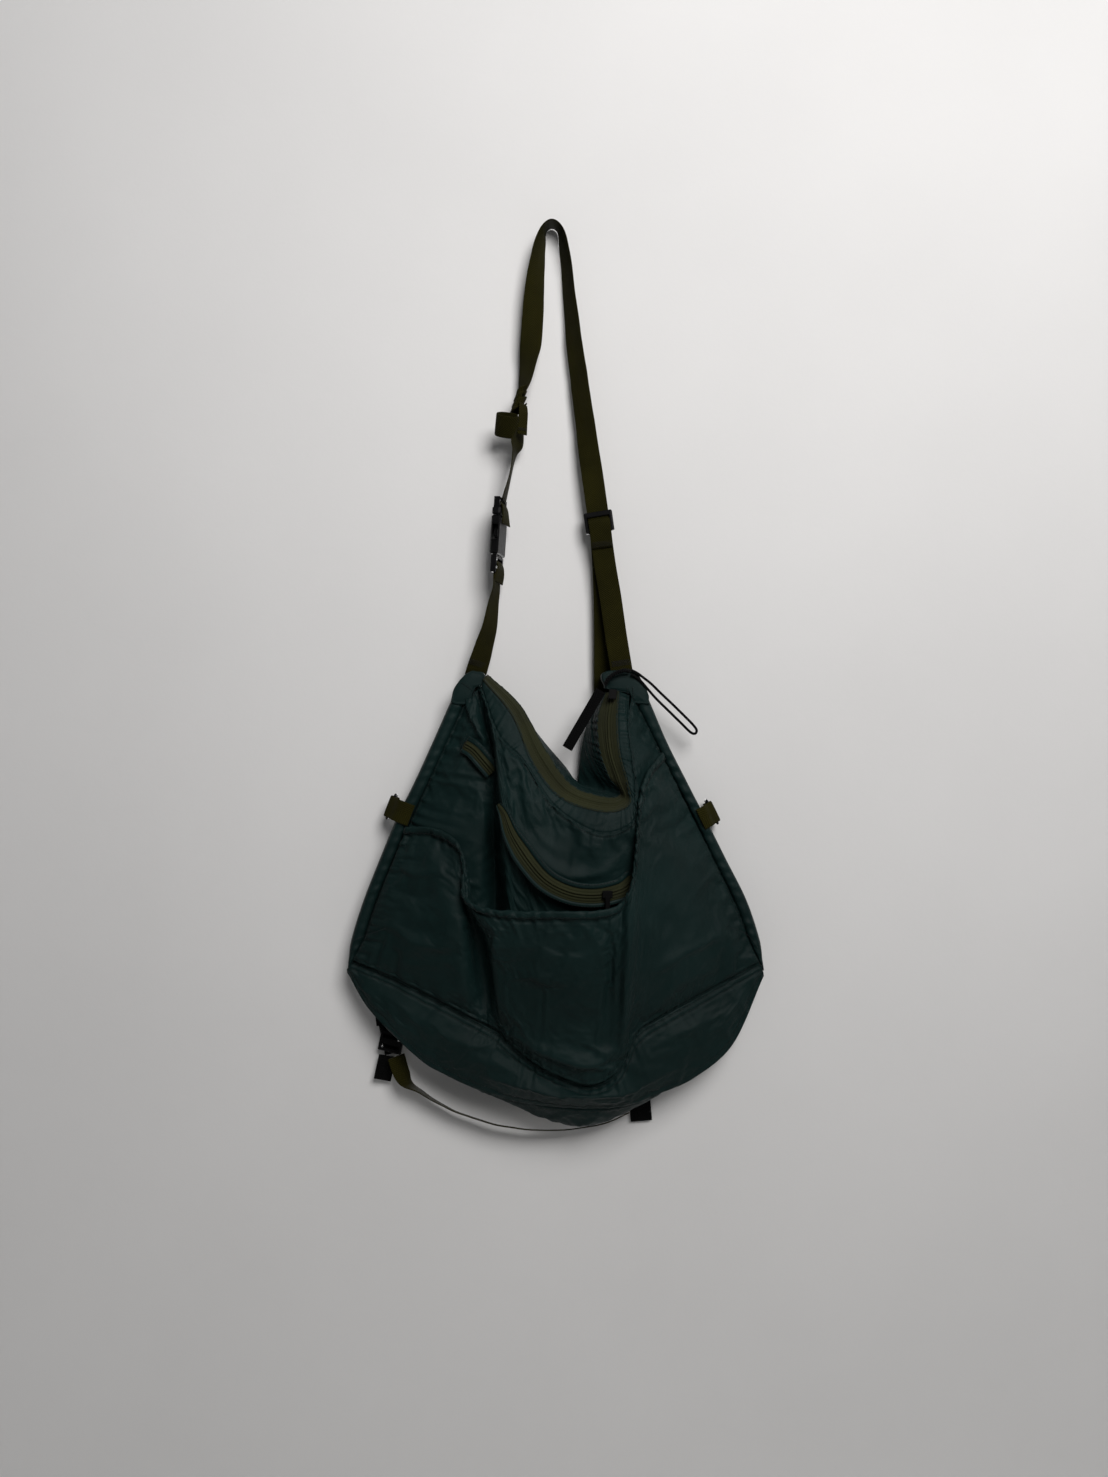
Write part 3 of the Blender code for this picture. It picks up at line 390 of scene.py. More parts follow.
def waves(s, pitch, seed, count=5):
    """An uneven ripple of about that pitch, between about -1 and 1."""
    rng = np.random.default_rng(seed)
    total = np.zeros_like(s)
    for _ in range(count):
        total += np.sin(2 * pi * s / (pitch * rng.uniform(0.65, 1.7)) + rng.uniform(0, 2 * pi))
    return total / np.sqrt(count)


def edge_distance(grid, edge):
    """How far along and how far away from one sewn edge each point lies."""
    axis = 0 if edge in ("top", "bottom") else 1
    away = lengths(grid, axis)
    if edge in ("bottom", "right"):
        away = away.take([-1], axis=axis) - away
    along = lengths(grid, 1 - axis)
    index = 0 if edge in ("top", "left") else -1
    along = along.take([index], axis=axis) + np.zeros_like(away)
    return along, away


def pucker(grid, edge, height, pitch, reach, seed):
    """Short wrinkles that run away from a sewn edge and die out over about that reach."""
    along, away = edge_distance(grid, edge)
    ripple = waves(along, pitch, seed) + 0.35 * waves(along, pitch * 0.45, seed + 1)
    spread = reach * (1 + 0.5 * waves(along, pitch * 3, seed + 2))
    fade = np.exp(-away / np.maximum(spread, 2.0)) * (0.35 + 0.65 * np.clip(away / 2.5, 0, 1))
    return grid + normals(grid) * (height * ripple * fade)[..., None]


def groove(grid, edge, offset, depth, width):
    """The dent that a row of stitches pulls into the cloth, beside an edge."""
    _, away = edge_distance(grid, edge)
    return grid - normals(grid) * (depth * bell(away - offset, width))[..., None]


def crumple(grid, height, size, seed):
    """Soft creases with sharp crests, as in a light coated nylon."""
    u, v = lengths(grid, 1), lengths(grid, 0)
    h = np.zeros(u.shape)
    for j in range(u.shape[0]):
        for i in range(u.shape[1]):
            place = Vector((u[j, i] / size, v[j, i] / size, seed * 7.3))
            h[j, i] = noise.noise(place) + (0.35 - abs(noise.noise(place * 1.9)))
    fade = edge_fade(grid, 8.0)
    return grid + normals(grid) * (height * h * fade)[..., None]


def edge_fade(grid, reach):
    """0 on a grid's edges, 1 from that far inside them."""
    fade = np.ones(grid.shape[:2])
    for edge in ("top", "bottom", "left", "right"):
        _, away = edge_distance(grid, edge)
        fade = np.minimum(fade, np.clip(away / reach, 0, 1))
    return fade


def fold(grid, line, height, width, skew=0.0):
    """A crease along a line of (x, z) points, raised if height is above 0. A skew sharpens one side."""
    path = smooth_line(line, 8)
    a, b = path[:-1], path[1:]
    flat = grid[..., :2].reshape(-1, 1, 2)
    t = np.clip(((flat - a) * (b - a)).sum(-1) / np.maximum(((b - a) ** 2).sum(-1), 1e-9), 0, 1)
    gap = flat - (a + (b - a) * t[..., None])
    far = np.linalg.norm(gap, axis=-1)
    near = far.argmin(axis=1)
    pick = np.arange(len(near))
    far = far[pick, near]
    way = unit(b - a)[near]
    side = np.sign(way[:, 0] * gap[pick, near, 1] - way[:, 1] * gap[pick, near, 0])
    place = (near + t[pick, near]) / len(a)
    taper = np.sin(pi * np.clip(place, 0, 1)) ** 0.6
    span = width * (1 + skew * side)
    lift = (height * taper * bell(far, span)).reshape(grid.shape[:2])
    return grid + normals(grid) * lift[..., None]


# ---- cloth simulation ----

def settle(grid, grow, frames, most):
    """Lets a sewn panel buckle: it is held at its edges, grows a little, and moves at most that far."""
    obj = plain_mesh("settling", world(grid))
    pins = obj.vertex_groups.new(name="sewn")
    down, across = grid.shape[:2]
    edge = [j * across + i for j in range(down) for i in range(across)
            if j in (0, down - 1) or i in (0, across - 1)]
    pins.add(edge, 1.0, "REPLACE")
    cloth = obj.modifiers.new("cloth", "CLOTH")
    cloth.settings.quality = 6
    cloth.settings.mass = 0.0005
    cloth.settings.tension_stiffness = cloth.settings.compression_stiffness = 12
    cloth.settings.shear_stiffness = 4
    cloth.settings.bending_stiffness = 0.05
    cloth.settings.air_damping = 3
    cloth.settings.vertex_group_mass = "sewn"
    cloth.settings.shrink_min = -grow
    cloth.settings.effector_weights.gravity = 0.0
    cloth.collision_settings.use_collision = False
    cloth.point_cache.frame_end = frames
    for number in range(1, frames + 1):
        bpy.context.scene.frame_set(number)
    settled = obj.evaluated_get(bpy.context.evaluated_depsgraph_get()).to_mesh()
    moved = np.empty(len(settled.vertices) * 3)
    settled.vertices.foreach_get("co", moved)
    bpy.data.objects.remove(obj, do_unlink=True)
    bpy.context.scene.frame_set(1)
    moved = moved.reshape(*grid.shape) / MM
    moved = np.stack([moved[..., 0], moved[..., 2], WALL_BEHIND_PEG_POINT - moved[..., 1]], axis=-1)
    shift = moved - grid
    size = np.linalg.norm(shift, axis=-1, keepdims=True)
    return grid + shift * most * np.tanh(size / most) / np.maximum(size, 1e-9)


# ---- meshes ----

def grid_faces(down, across, closed=False):
    """The faces of a grid of down by across points. A closed one joins its last column to its first."""
    faces = []
    for j in range(down - 1):
        for i in range(across if closed else across - 1):
            k = (i + 1) % across
            faces.append((j * across + i, (j + 1) * across + i, (j + 1) * across + k, j * across + k))
    return faces


def plain_mesh(name, points, faces=None, uv=None, material=None):
    """A mesh object from an array of points in metres: a grid of them, or a list with its faces."""
    if faces is None:
        faces = grid_faces(*points.shape[:2])
    mesh = bpy.data.meshes.new(name)
    flat = np.asarray(points, float).reshape(-1, 3)
    mesh.from_pydata(flat.tolist(), [], faces)
    if uv is not None:
        corners = np.empty(len(mesh.loops), np.int32)
        mesh.loops.foreach_get("vertex_index", corners)
        layer = mesh.uv_layers.new(name="UVMap")
        layer.data.foreach_set("uv", np.asarray(uv, float).reshape(-1, 2)[corners].ravel())
    mesh.shade_smooth()
    obj = bpy.data.objects.new(name, mesh)
    bpy.context.scene.collection.objects.link(obj)
    if material:
        mesh.materials.append(material)
    return obj


def finished(obj, slot, body="bag", replaces=()):
    """Says what a piece rides on and the CAD nodes that it stands for. The slot, its finish, is not used."""
    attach(obj, body)
    if replaces:
        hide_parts(*replaces)
    return obj


def cloth_piece(name, grid, material, slot, thickness=CLOTH, outwards=1, **says):
    """A sewn panel with thickness, whose weave follows the cloth's own width and length."""
    uv = np.stack([lengths(grid, 1), lengths(grid, 0)], axis=-1) * MM
    faces = grid_faces(*grid.shape[:2])
    if outwards < 0:
        faces = [face[::-1] for face in faces]
    obj = plain_mesh(name, world(grid), faces, uv, material)
    solid = obj.modifiers.new("thickness", "SOLIDIFY")
    solid.thickness = thickness * MM
    solid.offset = -1.0
    return finished(obj, slot, **says)


def swept(name, profiles, material, slot, closed=False, uv=None, **says):
    """A closed solid through profiles, arrays of points in metres, with its ends capped."""
    down, around = profiles.shape[:2]
    faces = grid_faces(down, around, closed=True)
    if closed:
        faces += [((down - 1) * around + i, i, (i + 1) % around, (down - 1) * around + (i + 1) % around)
                  for i in range(around)]
    else:
        faces.append(tuple(range(around)))
        faces.append(tuple(range(down * around - 1, (down - 1) * around - 1, -1)))
    obj = plain_mesh(name, profiles.reshape(-1, 3), faces, uv, material)
    face_out(obj)
    return finished(obj, slot, **says)


def face_out(obj):
    """Turns a closed mesh's faces outwards."""
    work = bmesh.new()
    work.from_mesh(obj.data)
    bmesh.ops.recalc_face_normals(work, faces=work.faces)
    work.to_mesh(obj.data)
    work.free()


def round_uv(round_part, s):
    """A tube's UV map: its first part round the tube, and the distance s along it."""
    return np.stack(np.broadcast_arrays(round_part[None], s[:, None]), axis=-1)


def round_tube(name, line, radius, material, slot, sides=10, closed=False, **says):
    """A cord through points in metres. The radius may differ along it."""
    line = np.asarray(line, float)
    radius = np.broadcast_to(radius, len(line))
    along = unit(np.gradient(line, axis=0))
    if closed:
        along = unit(np.roll(line, -1, axis=0) - np.roll(line, 1, axis=0))
    side = np.empty_like(along)
    first = np.cross(along[0], (0.3, 0.9, 0.2))
    for k, way in enumerate(along):
        first = first - way * (first @ way)
        side[k] = first = first / np.linalg.norm(first)
    up = np.cross(along, side)
    angle = 2 * pi * np.arange(sides) / sides
    ring = side[:, None] * np.cos(angle)[None, :, None] + up[:, None] * np.sin(angle)[None, :, None]
    profiles = line[:, None] + ring * radius[:, None, None]
    s = lengths(line)
    return swept(name, profiles, material, slot, closed, round_uv(angle / (2 * pi) * ROUND_UV, s), **says)


def stitches(name, line, out, material, pitch=STITCH_PITCH):
    """A row of stitches along a line of points in metres, where out is the cloth's normal at each point."""
    s = lengths(line)
    count = max(int(s[-1] / (pitch * MM)), 1)
    centre_s = (np.arange(count) + 0.5) * s[-1] / count
    centres, up = sampled(line, s, centre_s), unit(sampled(out, s, centre_s))
    near = 0.3 * pitch * MM
    way = unit(sampled(line, s, centre_s + near) - sampled(line, s, centre_s - near))
    side = np.cross(up, way)
    reach, sides = 0.36 * pitch, 5
    ring_place = np.array([-1.0, -0.8, 0.0, 0.8, 1.0])
    ring_size = np.array([0.3, 0.85, 1.0, 0.85, 0.3]) * THREAD / 2
    ring_lift = (0.35 - 0.75 * ring_place ** 2) * THREAD
    template = []
    for place, size, lift in zip(ring_place, ring_size, ring_lift, strict=True):
        for k in range(sides):
            a = 2 * pi * k / sides
            template.append((place * reach, size * cos(a), lift + size * sin(a)))
    template = np.array(template) * MM
    points = (centres[:, None] + way[:, None] * template[None, :, :1]
              + side[:, None] * template[None, :, 1:2] + up[:, None] * template[None, :, 2:])
    one = grid_faces(len(ring_place), sides, closed=True)
    one += [tuple(range(sides)), tuple(range(len(template) - 1, len(template) - 1 - sides, -1))]
    faces = [tuple(k + n * len(template) for k in face) for n in range(count) for face in one]
    obj = plain_mesh(name, points.reshape(-1, 3), faces, None, material)
    return finished(obj, "shell_nylon")


def line_on(grid, edge, offset):
    """A line on the surface beside an edge, that far inside it, and the normals along it, in metres."""
    out = normals(grid)
    if edge in ("left", "right"):
        grid, out = np.moveaxis(grid, 1, 0), np.moveaxis(out, 1, 0)
    if edge in ("bottom", "right"):
        grid, out = grid[::-1], out[::-1]
    s = lengths(grid, 0)
    columns = range(grid.shape[1])
    points = np.array([sampled(grid[:, i], s[:, i], offset) for i in columns])
    ways = unit(np.array([sampled(out[:, i], s[:, i], offset) for i in columns]))
    return world(points + ways * STITCH_LIFT), direction(ways)


# ---- materials ----

def node(tree, kind, inputs=None, **settings):
    """A shader node with its settings, and its inputs as values or as other nodes' outputs."""
    made = tree.nodes.new("ShaderNode" + kind)
    for key, value in settings.items():
        setattr(made, key, value)
    for key, value in (inputs or {}).items():
        if isinstance(value, bpy.types.NodeSocket):
            tree.links.new(value, made.inputs[key])
        else:
            made.inputs[key].default_value = value
    return made


def maths(tree, operation, a, b=0.0):
    return node(tree, "Math", {0: a, 1: b}, operation=operation).outputs[0]


def ramp(tree, factor, stops):
    """Colours from a factor, with stops of (place, colour)."""
    made = node(tree, "ValToRGB", {"Fac": factor})
    bands = made.color_ramp.elements
    while len(bands) < len(stops):
        bands.new(0.5)
    for band, (place, color) in zip(bands, stops, strict=True):
        band.position = place
        band.color = (*color, 1.0)
    return made.outputs["Color"]


def new_material(name, roughness, **sockets):
    material = bpy.data.materials.new(name)
    material.use_nodes = True
    tree = material.node_tree
    shader = tree.nodes["Principled BSDF"]
    shader.inputs["Roughness"].default_value = roughness
    for key, value in sockets.items():
        shader.inputs[key.replace("_", " ")].default_value = value
    return material, tree, shader


def tint(color, by):
    return tuple(min(channel * by, 1.0) for channel in color)


def noise_at(tree, scale, detail=4.0, distortion=0.0):
    """Noise over the object's own space, with scale in features a metre."""
    place = node(tree, "TexCoord").outputs["Object"]
    return node(tree, "TexNoise", {"Vector": place, "Scale": scale, "Detail": detail,
                                   "Distortion": distortion}).outputs["Fac"]


def uv_parts(tree):
    """The two parts of the piece's UV map, which is in metres of its own width and length."""
    uv = node(tree, "SeparateXYZ", {"Vector": node(tree, "UVMap").outputs["UV"]})
    return uv.outputs["X"], uv.outputs["Y"]


def sine(tree, place, pitch_mm):
    return maths(tree, "SINE", maths(tree, "MULTIPLY", place, 2 * pi / (pitch_mm * MM)))


def threads(tree, across_mm, along_mm):
    """Height of a plain weave."""
    across, along = uv_parts(tree)
    return maths(tree, "MULTIPLY", sine(tree, across, across_mm), sine(tree, along, along_mm))


def worn_edges(tree, start, end):
    """How much an edge stands out, from 0 to 1."""
    point = node(tree, "NewGeometry").outputs["Pointiness"]
    return node(tree, "MapRange", {"Value": point, "From Min": start, "From Max": end}).outputs["Result"]


def coat(tree, shader, factor, stops, normal):
    """Gives the shader its colours, from a factor, and its normal."""
    tree.links.new(ramp(tree, factor, stops), shader.inputs["Base Color"])
    tree.links.new(normal, shader.inputs["Normal"])


def bump(tree, height, depth_mm, strength=1.0, normal=None):
    inputs = {"Height": height, "Distance": depth_mm * MM, "Strength": strength}
    if normal:
        inputs["Normal"] = normal
    return node(tree, "Bump", inputs).outputs["Normal"]


def nylon(name, color, roughness=0.46, weave=0.55, crinkle=0.9):
    """Coated plain-weave nylon: a fine weave, faint creases, and cloudy wear in colour and gloss."""
    material, tree, shader = new_material(
        name, roughness, Sheen_Weight=0.008, Sheen_Roughness=0.4, Specular_IOR_Level=0.1)
    rough = node(tree, "MapRange", {"Value": noise_at(tree, 26.0, 4.0), "From Min": 0.3, "From Max": 0.7,
                                    "To Min": roughness - 0.07, "To Max": roughness + 0.08})
    tree.links.new(rough.outputs["Result"], shader.inputs["Roughness"])
    creases = bump(tree, noise_at(tree, 30.0, 3.0, 0.5), crinkle, 0.7)
    coat(tree, shader, noise_at(tree, 11.0, 5.0, 0.4),
         [(0.30, tint(color, 0.80)), (0.55, color), (0.78, tint(color, 1.22))],
         bump(tree, threads(tree, weave, weave), 0.05, 0.6, creases))
    return material


def webbing_material(name, color, fuzz_weight=0.012):
    """Woven nylon webbing: rows that slant to each side of the middle, with painted shade in the gaps between
    rows, painted highlight on their crests, and a pale fuzz.
    """
    material, tree, shader = new_material(
        name, 0.82, Sheen_Weight=fuzz_weight, Sheen_Roughness=0.6, Specular_IOR_Level=0.05)
    across, along = uv_parts(tree)
    ribs = sine(tree, maths(tree, "ADD", along, maths(tree, "ABSOLUTE", across)), 2.8)
    height = maths(tree, "ADD", maths(tree, "MULTIPLY", ribs, 0.7),
                   maths(tree, "MULTIPLY", sine(tree, across, 1.3), 0.3))
    # The rows' height as colour: painted shade in the gaps and painted highlight on the crests, with random
    # tone mixed in.
    depth = node(tree, "MapRange", {"Value": height, "From Min": -1.0, "From Max": 1.0})
    mixed = maths(tree, "ADD", maths(tree, "MULTIPLY", depth.outputs["Result"], 0.65),
                  maths(tree, "MULTIPLY", noise_at(tree, 30.0, 5.0), 0.45))
    fuzz = bump(tree, noise_at(tree, 900.0, 2.0), 0.12, 0.5)
    coat(tree, shader, mixed, [(0.2, tint(color, 0.3)), (0.55, color), (0.9, tint(color, 1.9))],
         bump(tree, height, 0.35, 0.9, fuzz))
    return material


def zip_tape_material(name, color):
    """Zip tape: fine cross ribs, with a slightly shiny woven face, faint painted shade in the weave's dips,
    painted highlight on its threads, and random tone.
    """
    material, tree, shader = new_material(
        name, 0.62, Sheen_Weight=0.03, Sheen_Roughness=0.5, Specular_IOR_Level=0.16)
    height = threads(tree, 0.9, 1.1)
    # The weave's height in the colour is faint painted shade and highlight; the noise is random tone.
    mixed = maths(tree, "ADD", maths(tree, "MULTIPLY", height, 0.18), noise_at(tree, 24.0, 4.0))
    coat(tree, shader, mixed, [(0.2, tint(color, 0.7)), (0.5, color), (0.85, tint(color, 1.25))],
         bump(tree, height, 0.14, 0.8))
    return material


def plastic(name, color, roughness):
    """Moulded acetal: fine grain, small scuffs, and edges rubbed a little paler and smoother."""
    material, tree, shader = new_material(name, roughness, Specular_IOR_Level=0.11)
    scuffs = noise_at(tree, 160.0, 5.0, 1.5)
    mixed = maths(tree, "ADD", maths(tree, "MULTIPLY", worn_edges(tree, 0.50, 0.58), 0.5),
                  maths(tree, "MULTIPLY", scuffs, 0.5))
    rough = node(tree, "MapRange", {"Value": scuffs, "To Min": roughness - 0.08, "To Max": roughness + 0.12})
    tree.links.new(rough.outputs["Result"], shader.inputs["Roughness"])
    coat(tree, shader, mixed, [(0.2, tint(color, 0.8)), (0.5, color), (0.9, tint(color, 2.4))],
         bump(tree, noise_at(tree, 1400.0, 2.0), 0.04, 0.6))
    return material


def braid(name, color):
    """Braided cord: slanting strands that cross, four each way round the tube, with painted shade between
    them and painted highlight on their crests.
    """
    material, tree, shader = new_material(
        name, 0.75, Sheen_Weight=0.01, Sheen_Roughness=0.5, Specular_IOR_Level=0.1)
    across, along = uv_parts(tree)
    round_part = maths(tree, "MULTIPLY", across, 2 * pi * 4 / ROUND_UV)
    along_part = maths(tree, "MULTIPLY", along, 2 * pi / (2.2 * MM))
    left = maths(tree, "SINE", maths(tree, "ADD", along_part, round_part))
    right = maths(tree, "SINE", maths(tree, "SUBTRACT", along_part, round_part))
    height = maths(tree, "MAXIMUM", left, right)
    # Colour from the strands' height: painted shade between the strands, painted highlight on their crests.
    coat(tree, shader, height, [(0.0, tint(color, 0.5)), (0.7, color), (1.0, tint(color, 1.8))],
         bump(tree, height, 0.2, 0.9))
    return material


def thread_material(name, color):
    """Twisted polyester thread, paler where its strands catch the light."""
    material, tree, shader = new_material(name, 0.55, Sheen_Weight=0.05, Specular_IOR_Level=0.25)
    twist = noise_at(tree, 1600.0, 2.0)
    coat(tree, shader, twist, [(0.3, tint(color, 0.6)), (0.6, color), (0.8, tint(color, 2.0))],
         bump(tree, twist, 0.1, 0.7))
    return material


def enamel(name, color):
    """Black enamelled zinc, chipped to bare metal on its edges."""
    material, tree, shader = new_material(name, 0.6, Specular_IOR_Level=0.05)
    chips = maths(tree, "MULTIPLY", worn_edges(tree, 0.56, 0.72), noise_at(tree, 500.0, 3.0))
    coat(tree, shader, chips, [(0.40, color), (0.6, (0.10, 0.098, 0.09))],
         bump(tree, noise_at(tree, 900.0, 3.0), 0.03, 0.5))
    return material


def painted_wall(name):
    """Matt white paint with a faint roller texture, clear from behind so that the bag's back can be seen."""
    material, tree, shader = new_material(name, 0.85, Specular_IOR_Level=0.15)
    coat(tree, shader, noise_at(tree, 2.5, 5.0), [(0.3, (0.76, 0.755, 0.75)), (0.7, (0.80, 0.795, 0.79))],
         bump(tree, noise_at(tree, 220.0, 4.0), 0.3, 0.25))
    clear = node(tree, "BsdfTransparent")
    mix = node(tree, "MixShader", {"Fac": node(tree, "NewGeometry").outputs["Backfacing"],
                                   1: shader.outputs["BSDF"], 2: clear.outputs["BSDF"]})
    tree.links.new(mix.outputs["Shader"], tree.nodes["Material Output"].inputs["Surface"])
    return material


def make_materials():
    teal = (0.0052, 0.0158, 0.0150)
    olive = (0.0140, 0.0128, 0.0015)
    return {
        "nylon": nylon("bag_nylon", teal),
        "lining": nylon("bag_back_nylon", tint(teal, 0.9), 0.55, 0.8, 0.5),
        "thread": thread_material("bag_thread", (0.0025, 0.005, 0.005)),
        "dark_thread": thread_material("tack_thread", (0.0035, 0.0033, 0.0012)),
        "olive": webbing_material("olive_webbing_weave", olive),
        "loop": webbing_material("loop_webbing_weave", tint(olive, 1.1)),
        "black": webbing_material("black_webbing_weave", (0.0019, 0.0019, 0.002), fuzz_weight=0.01),
        "tape": zip_tape_material("zip_tape_weave", (0.0215, 0.0235, 0.0075)),
        "coil": plastic("zip_coil_nylon", (0.014, 0.016, 0.009), 0.5),
        "plastic": plastic("black_acetal", (0.0020, 0.0020, 0.0022), 0.4),
        "cord": braid("black_braid", (0.0022, 0.0022, 0.0025)),
        "metal": enamel("slider_enamel", (0.004, 0.004, 0.004)),
    }


# ---- the sewn panels ----

def seam_row(above, below):
    """The row that two neighbouring panels share."""
    return [tuple((a + b) / 2 for a, b in zip(p, q, strict=True)) for p, q in zip(above, below, strict=True)]


def to_bands(rows, reach=3.0):
    """The cage with its outer columns moved out to the edge bands, where the CAD leaves a gap."""
    return [[(row[0][0] - reach, *row[0][1:]), *row[1:-1], (row[-1][0] + reach, *row[-1][1:])]
            for row in rows]


def worked(grid, steps):
    """The grid after each step in turn. A step is a function and what it takes after the grid."""
    for step, *values in steps:
        grid = step(grid, *values)
    return grid


def folds(table, depth=1.0):
    return [(fold, line, depth * height, width, skew) for line, height, width, skew in table]


def darts():
    return [(fold, [(x, z) for x, z, _ in line], -DART_DEPTH, DART_WIDTH) for line in DARTS.values()]


def padded_panel(name, grid, material, fill, node_name, **says):
    cloth_piece(name, grid, material, "shell_nylon", replaces=[node_name], **says)
    return grid


def make_front(mats):
    """The front panel, with its deep valley, the cowl and the folds under the zip's V."""
    rows = to_bands([*FRONT_CAGE[:-1], seam_row(FRONT_CAGE[-1], BASE_CAGE[0])])
    grid = worked(evened(surface(rows, 9, 17)), [
        *folds(FRONT_FOLDS, FOLD_DEPTH),
        (pucker, "left", 1.1, 15, 16, 12), (pucker, "right", 1.1, 15, 16, 13),
        (crumple, 1.3, 46, 1), (settle, 0.03, 16, 4.5), (refine,),
        (pucker, "top", 1.1, 7, 8, 11), (pucker, "left", 0.8, 6, 7, 14), (pucker, "right", 0.8, 6, 7, 15),
        (crumple, 0.3, 20, 8),
        (groove, "top", 2.5, 1.0, 1.3), (groove, "left", 2.5, 1.2, 1.5), (groove, "right", 2.5, 1.2, 1.5),
        *darts()])
    return padded_panel("front_shell", grid, mats["nylon"], 0.15, "front_panel")


def make_pocket(mats):
    """The patch pocket, with its upright ridge and its creases."""
    grid = worked(evened(surface(to_bands(POCKET_CAGE), 9, 20)), [
        *folds(POCKET_FOLDS, FOLD_DEPTH),
        (pucker, "bottom", 1.0, 17, 18, 22), (pucker, "left", 1.2, 18, 22, 23),
        (pucker, "right", 1.2, 18, 18, 24), (crumple, 1.4, 52, 2), (settle, 0.03, 16, 4.0), (refine,),
        (pucker, "top", 1.1, 9, 15, 21), (pucker, "bottom", 0.8, 8, 9, 25),
        (pucker, "left", 0.8, 7, 8, 26), (pucker, "right", 0.8, 7, 8, 27),
        (crumple, 0.3, 20, 9),
        (groove, "top", 9.0, 1.2, 1.3), (groove, "bottom", 3.0, 1.0, 1.4),
        *darts()])
    return padded_panel("pocket_shell", grid, mats["nylon"], 0.15, "pocket_panel")


def make_base(mats):
    """The crescent under the base seam, and the rear piece that hangs lower behind it."""
    front = [seam_row(FRONT_CAGE[-1], BASE_CAGE[0]), *BASE_CAGE[1:]]
    grid = worked(evened(surface(to_bands(front, 2.0), 9, 12)), [
        *folds(BASE_FOLDS),
        (pucker, "top", 0.9, 15, 14, 31), (crumple, 0.8, 50, 3), (settle, 0.015, 14, 2.5), (refine,),
        (pucker, "top", 0.7, 8, 8, 34), (pucker, "bottom", 0.25, 8, 9, 32), (crumple, 0.3, 20, 10),
        (groove, "top", 3.0, 1.0, 1.3), (groove, "top", 9.5, 1.0, 1.3), (groove, "bottom", 7.0, 0.8, 1.3)])
    padded_panel("base_shell", grid, mats["nylon"], 0.2, "base_panel")
    rows = [BASE_CAGE[-1], *REAR_BASE_CAGE]
    rows[0] = [(x, z, d - 2.0) for x, z, d in rows[0]]
    rows[-1] = [(x, z, BACK_PLANE) for x, z, _ in rows[-1]]
    rear = worked(evened(surface(to_bands(rows, 2.0), 9, 10)), [
        (crumple, 0.5, 44, 4), (settle, 0.012, 12, 2.5), (refine,),
        (pucker, "top", 0.5, 8, 9, 33), (crumple, 0.3, 20, 11), (groove, "top", 5.0, 0.8, 1.3)])
    padded_panel("rear_base_shell", rear, mats["nylon"], 0.1, "rear_base_panel")
    return grid, rear


def make_back(mats):
    """The flat back panel, laid against the wall."""
    rows = [[(x, z, BACK_PLANE) for x, z in row] for row in BACK_CAGE]
    grid = worked(surface(to_bands(rows, 9.0), 24, 30), [(crumple, 1.3, 60, 5), (crumple, 0.5, 17, 12)])
    for edge, seed in (("left", 53), ("right", 54), ("bottom", 55), ("top", 56)):
        grid = worked(grid, [(pucker, edge, 0.7, 9, 9, seed), (groove, edge, 5.0, -0.9, 1.3)])
    grid[..., 2] = np.maximum(grid[..., 2], BACK_PLANE - 2.0)
    padded_panel("back_shell", grid, mats["lining"], 0.15, "back_panel", outwards=-1)


def make_top_strips(mats):
    """The puckered strips on both sides of the main zip. The front one starts at the cowl's ridge."""
    ridge, shares = 4, (0.0, 0.33, 0.67, 1.0)
    front = worked(surface(between_edges(ZIP_FRONT_EDGE, FRONT_CAGE[0][ridge:], shares), 26, 8), [
        (pucker, "bottom", 1.2, 6.5, 8, 41), (pucker, "top", 0.6, 7, 6, 42), (crumple, 0.9, 26, 6),
        (groove, "bottom", 2.2, 1.2, 1.1), (groove, "top", 2.0, 0.7, 1.0)])
    padded_panel("front_strip_shell", front, mats["nylon"], 0.1, "front_top_strip")
    back = worked(surface(between_edges(ZIP_BACK_EDGE, BACK_FOLD, shares), 26, 12), [
        (pucker, "top", 1.1, 7, 12, 43), (crumple, 1.6, 30, 7)])
    padded_panel("back_strip_shell", back, mats["nylon"], 0.1, "back_top_strip", outwards=-1)
    return front, back


def between_edges(edge_a, edge_b, shares):
    """Rows at these shares of the way from one edge to the other."""
    a, b = np.array(edge_a, float), np.array(edge_b, float)
    return [a + (b - a) * share for share in shares]


def make_bands(mats):
    """The padded bands down both sides, puckered along their seams."""
    lines = {
        "left": ([(-92, -538), *LEFT_BAND_SEAM, (-232, -860)], [(-104, -532), *LEFT_BAND_RIM, (-234, -861)]),
        "right": ([(87, -538), *RIGHT_BAND_SEAM, (241, -860)], [(102, -534), *RIGHT_BAND_RIM, (243, -861)]),
    }
    for side, (seam, rim) in lines.items():
        each, around = 26, 20
        seam, rim = smooth_line(seam, each), smooth_line(rim, each)
        s = lengths(seam)
        plump = 1 + 0.045 * waves(s, 13, 51 if side == "left" else 52)
        taper = 1 - 0.45 * np.clip((s - s[-1] + 14) / 14, 0, 1) ** 2
        nip = 1.1 * np.maximum(waves(s, 9, 53), 0) ** 2
        angles = 2 * pi * np.arange(around) / around
        middle, half_width = (seam + rim) / 2, (rim - seam) / 2
        profile = []
        for a in angles:
            depth = rounded(sin(a), 0.8)
            place = middle + half_width * rounded(cos(a), 0.75)
            high = ((BAND_FRONT - BAND_BACK) / 2 + 1.5) * taper
            seam_pull = nip * max(sin(a), 0) * max(-cos(a), 0) ** 2
            d = (BAND_FRONT + BAND_BACK) / 2 + high * depth * plump - seam_pull
            profile.append(np.stack([place[:, 0], place[:, 1], d], axis=-1))
        grid = np.stack(profile, axis=1)
        uv = round_uv(angles * 9, s) * MM
        band = swept(f"{side}_band", world(grid), mats["nylon"], "shell_nylon", uv=uv,
                     replaces=[f"{side}_edge_band"])


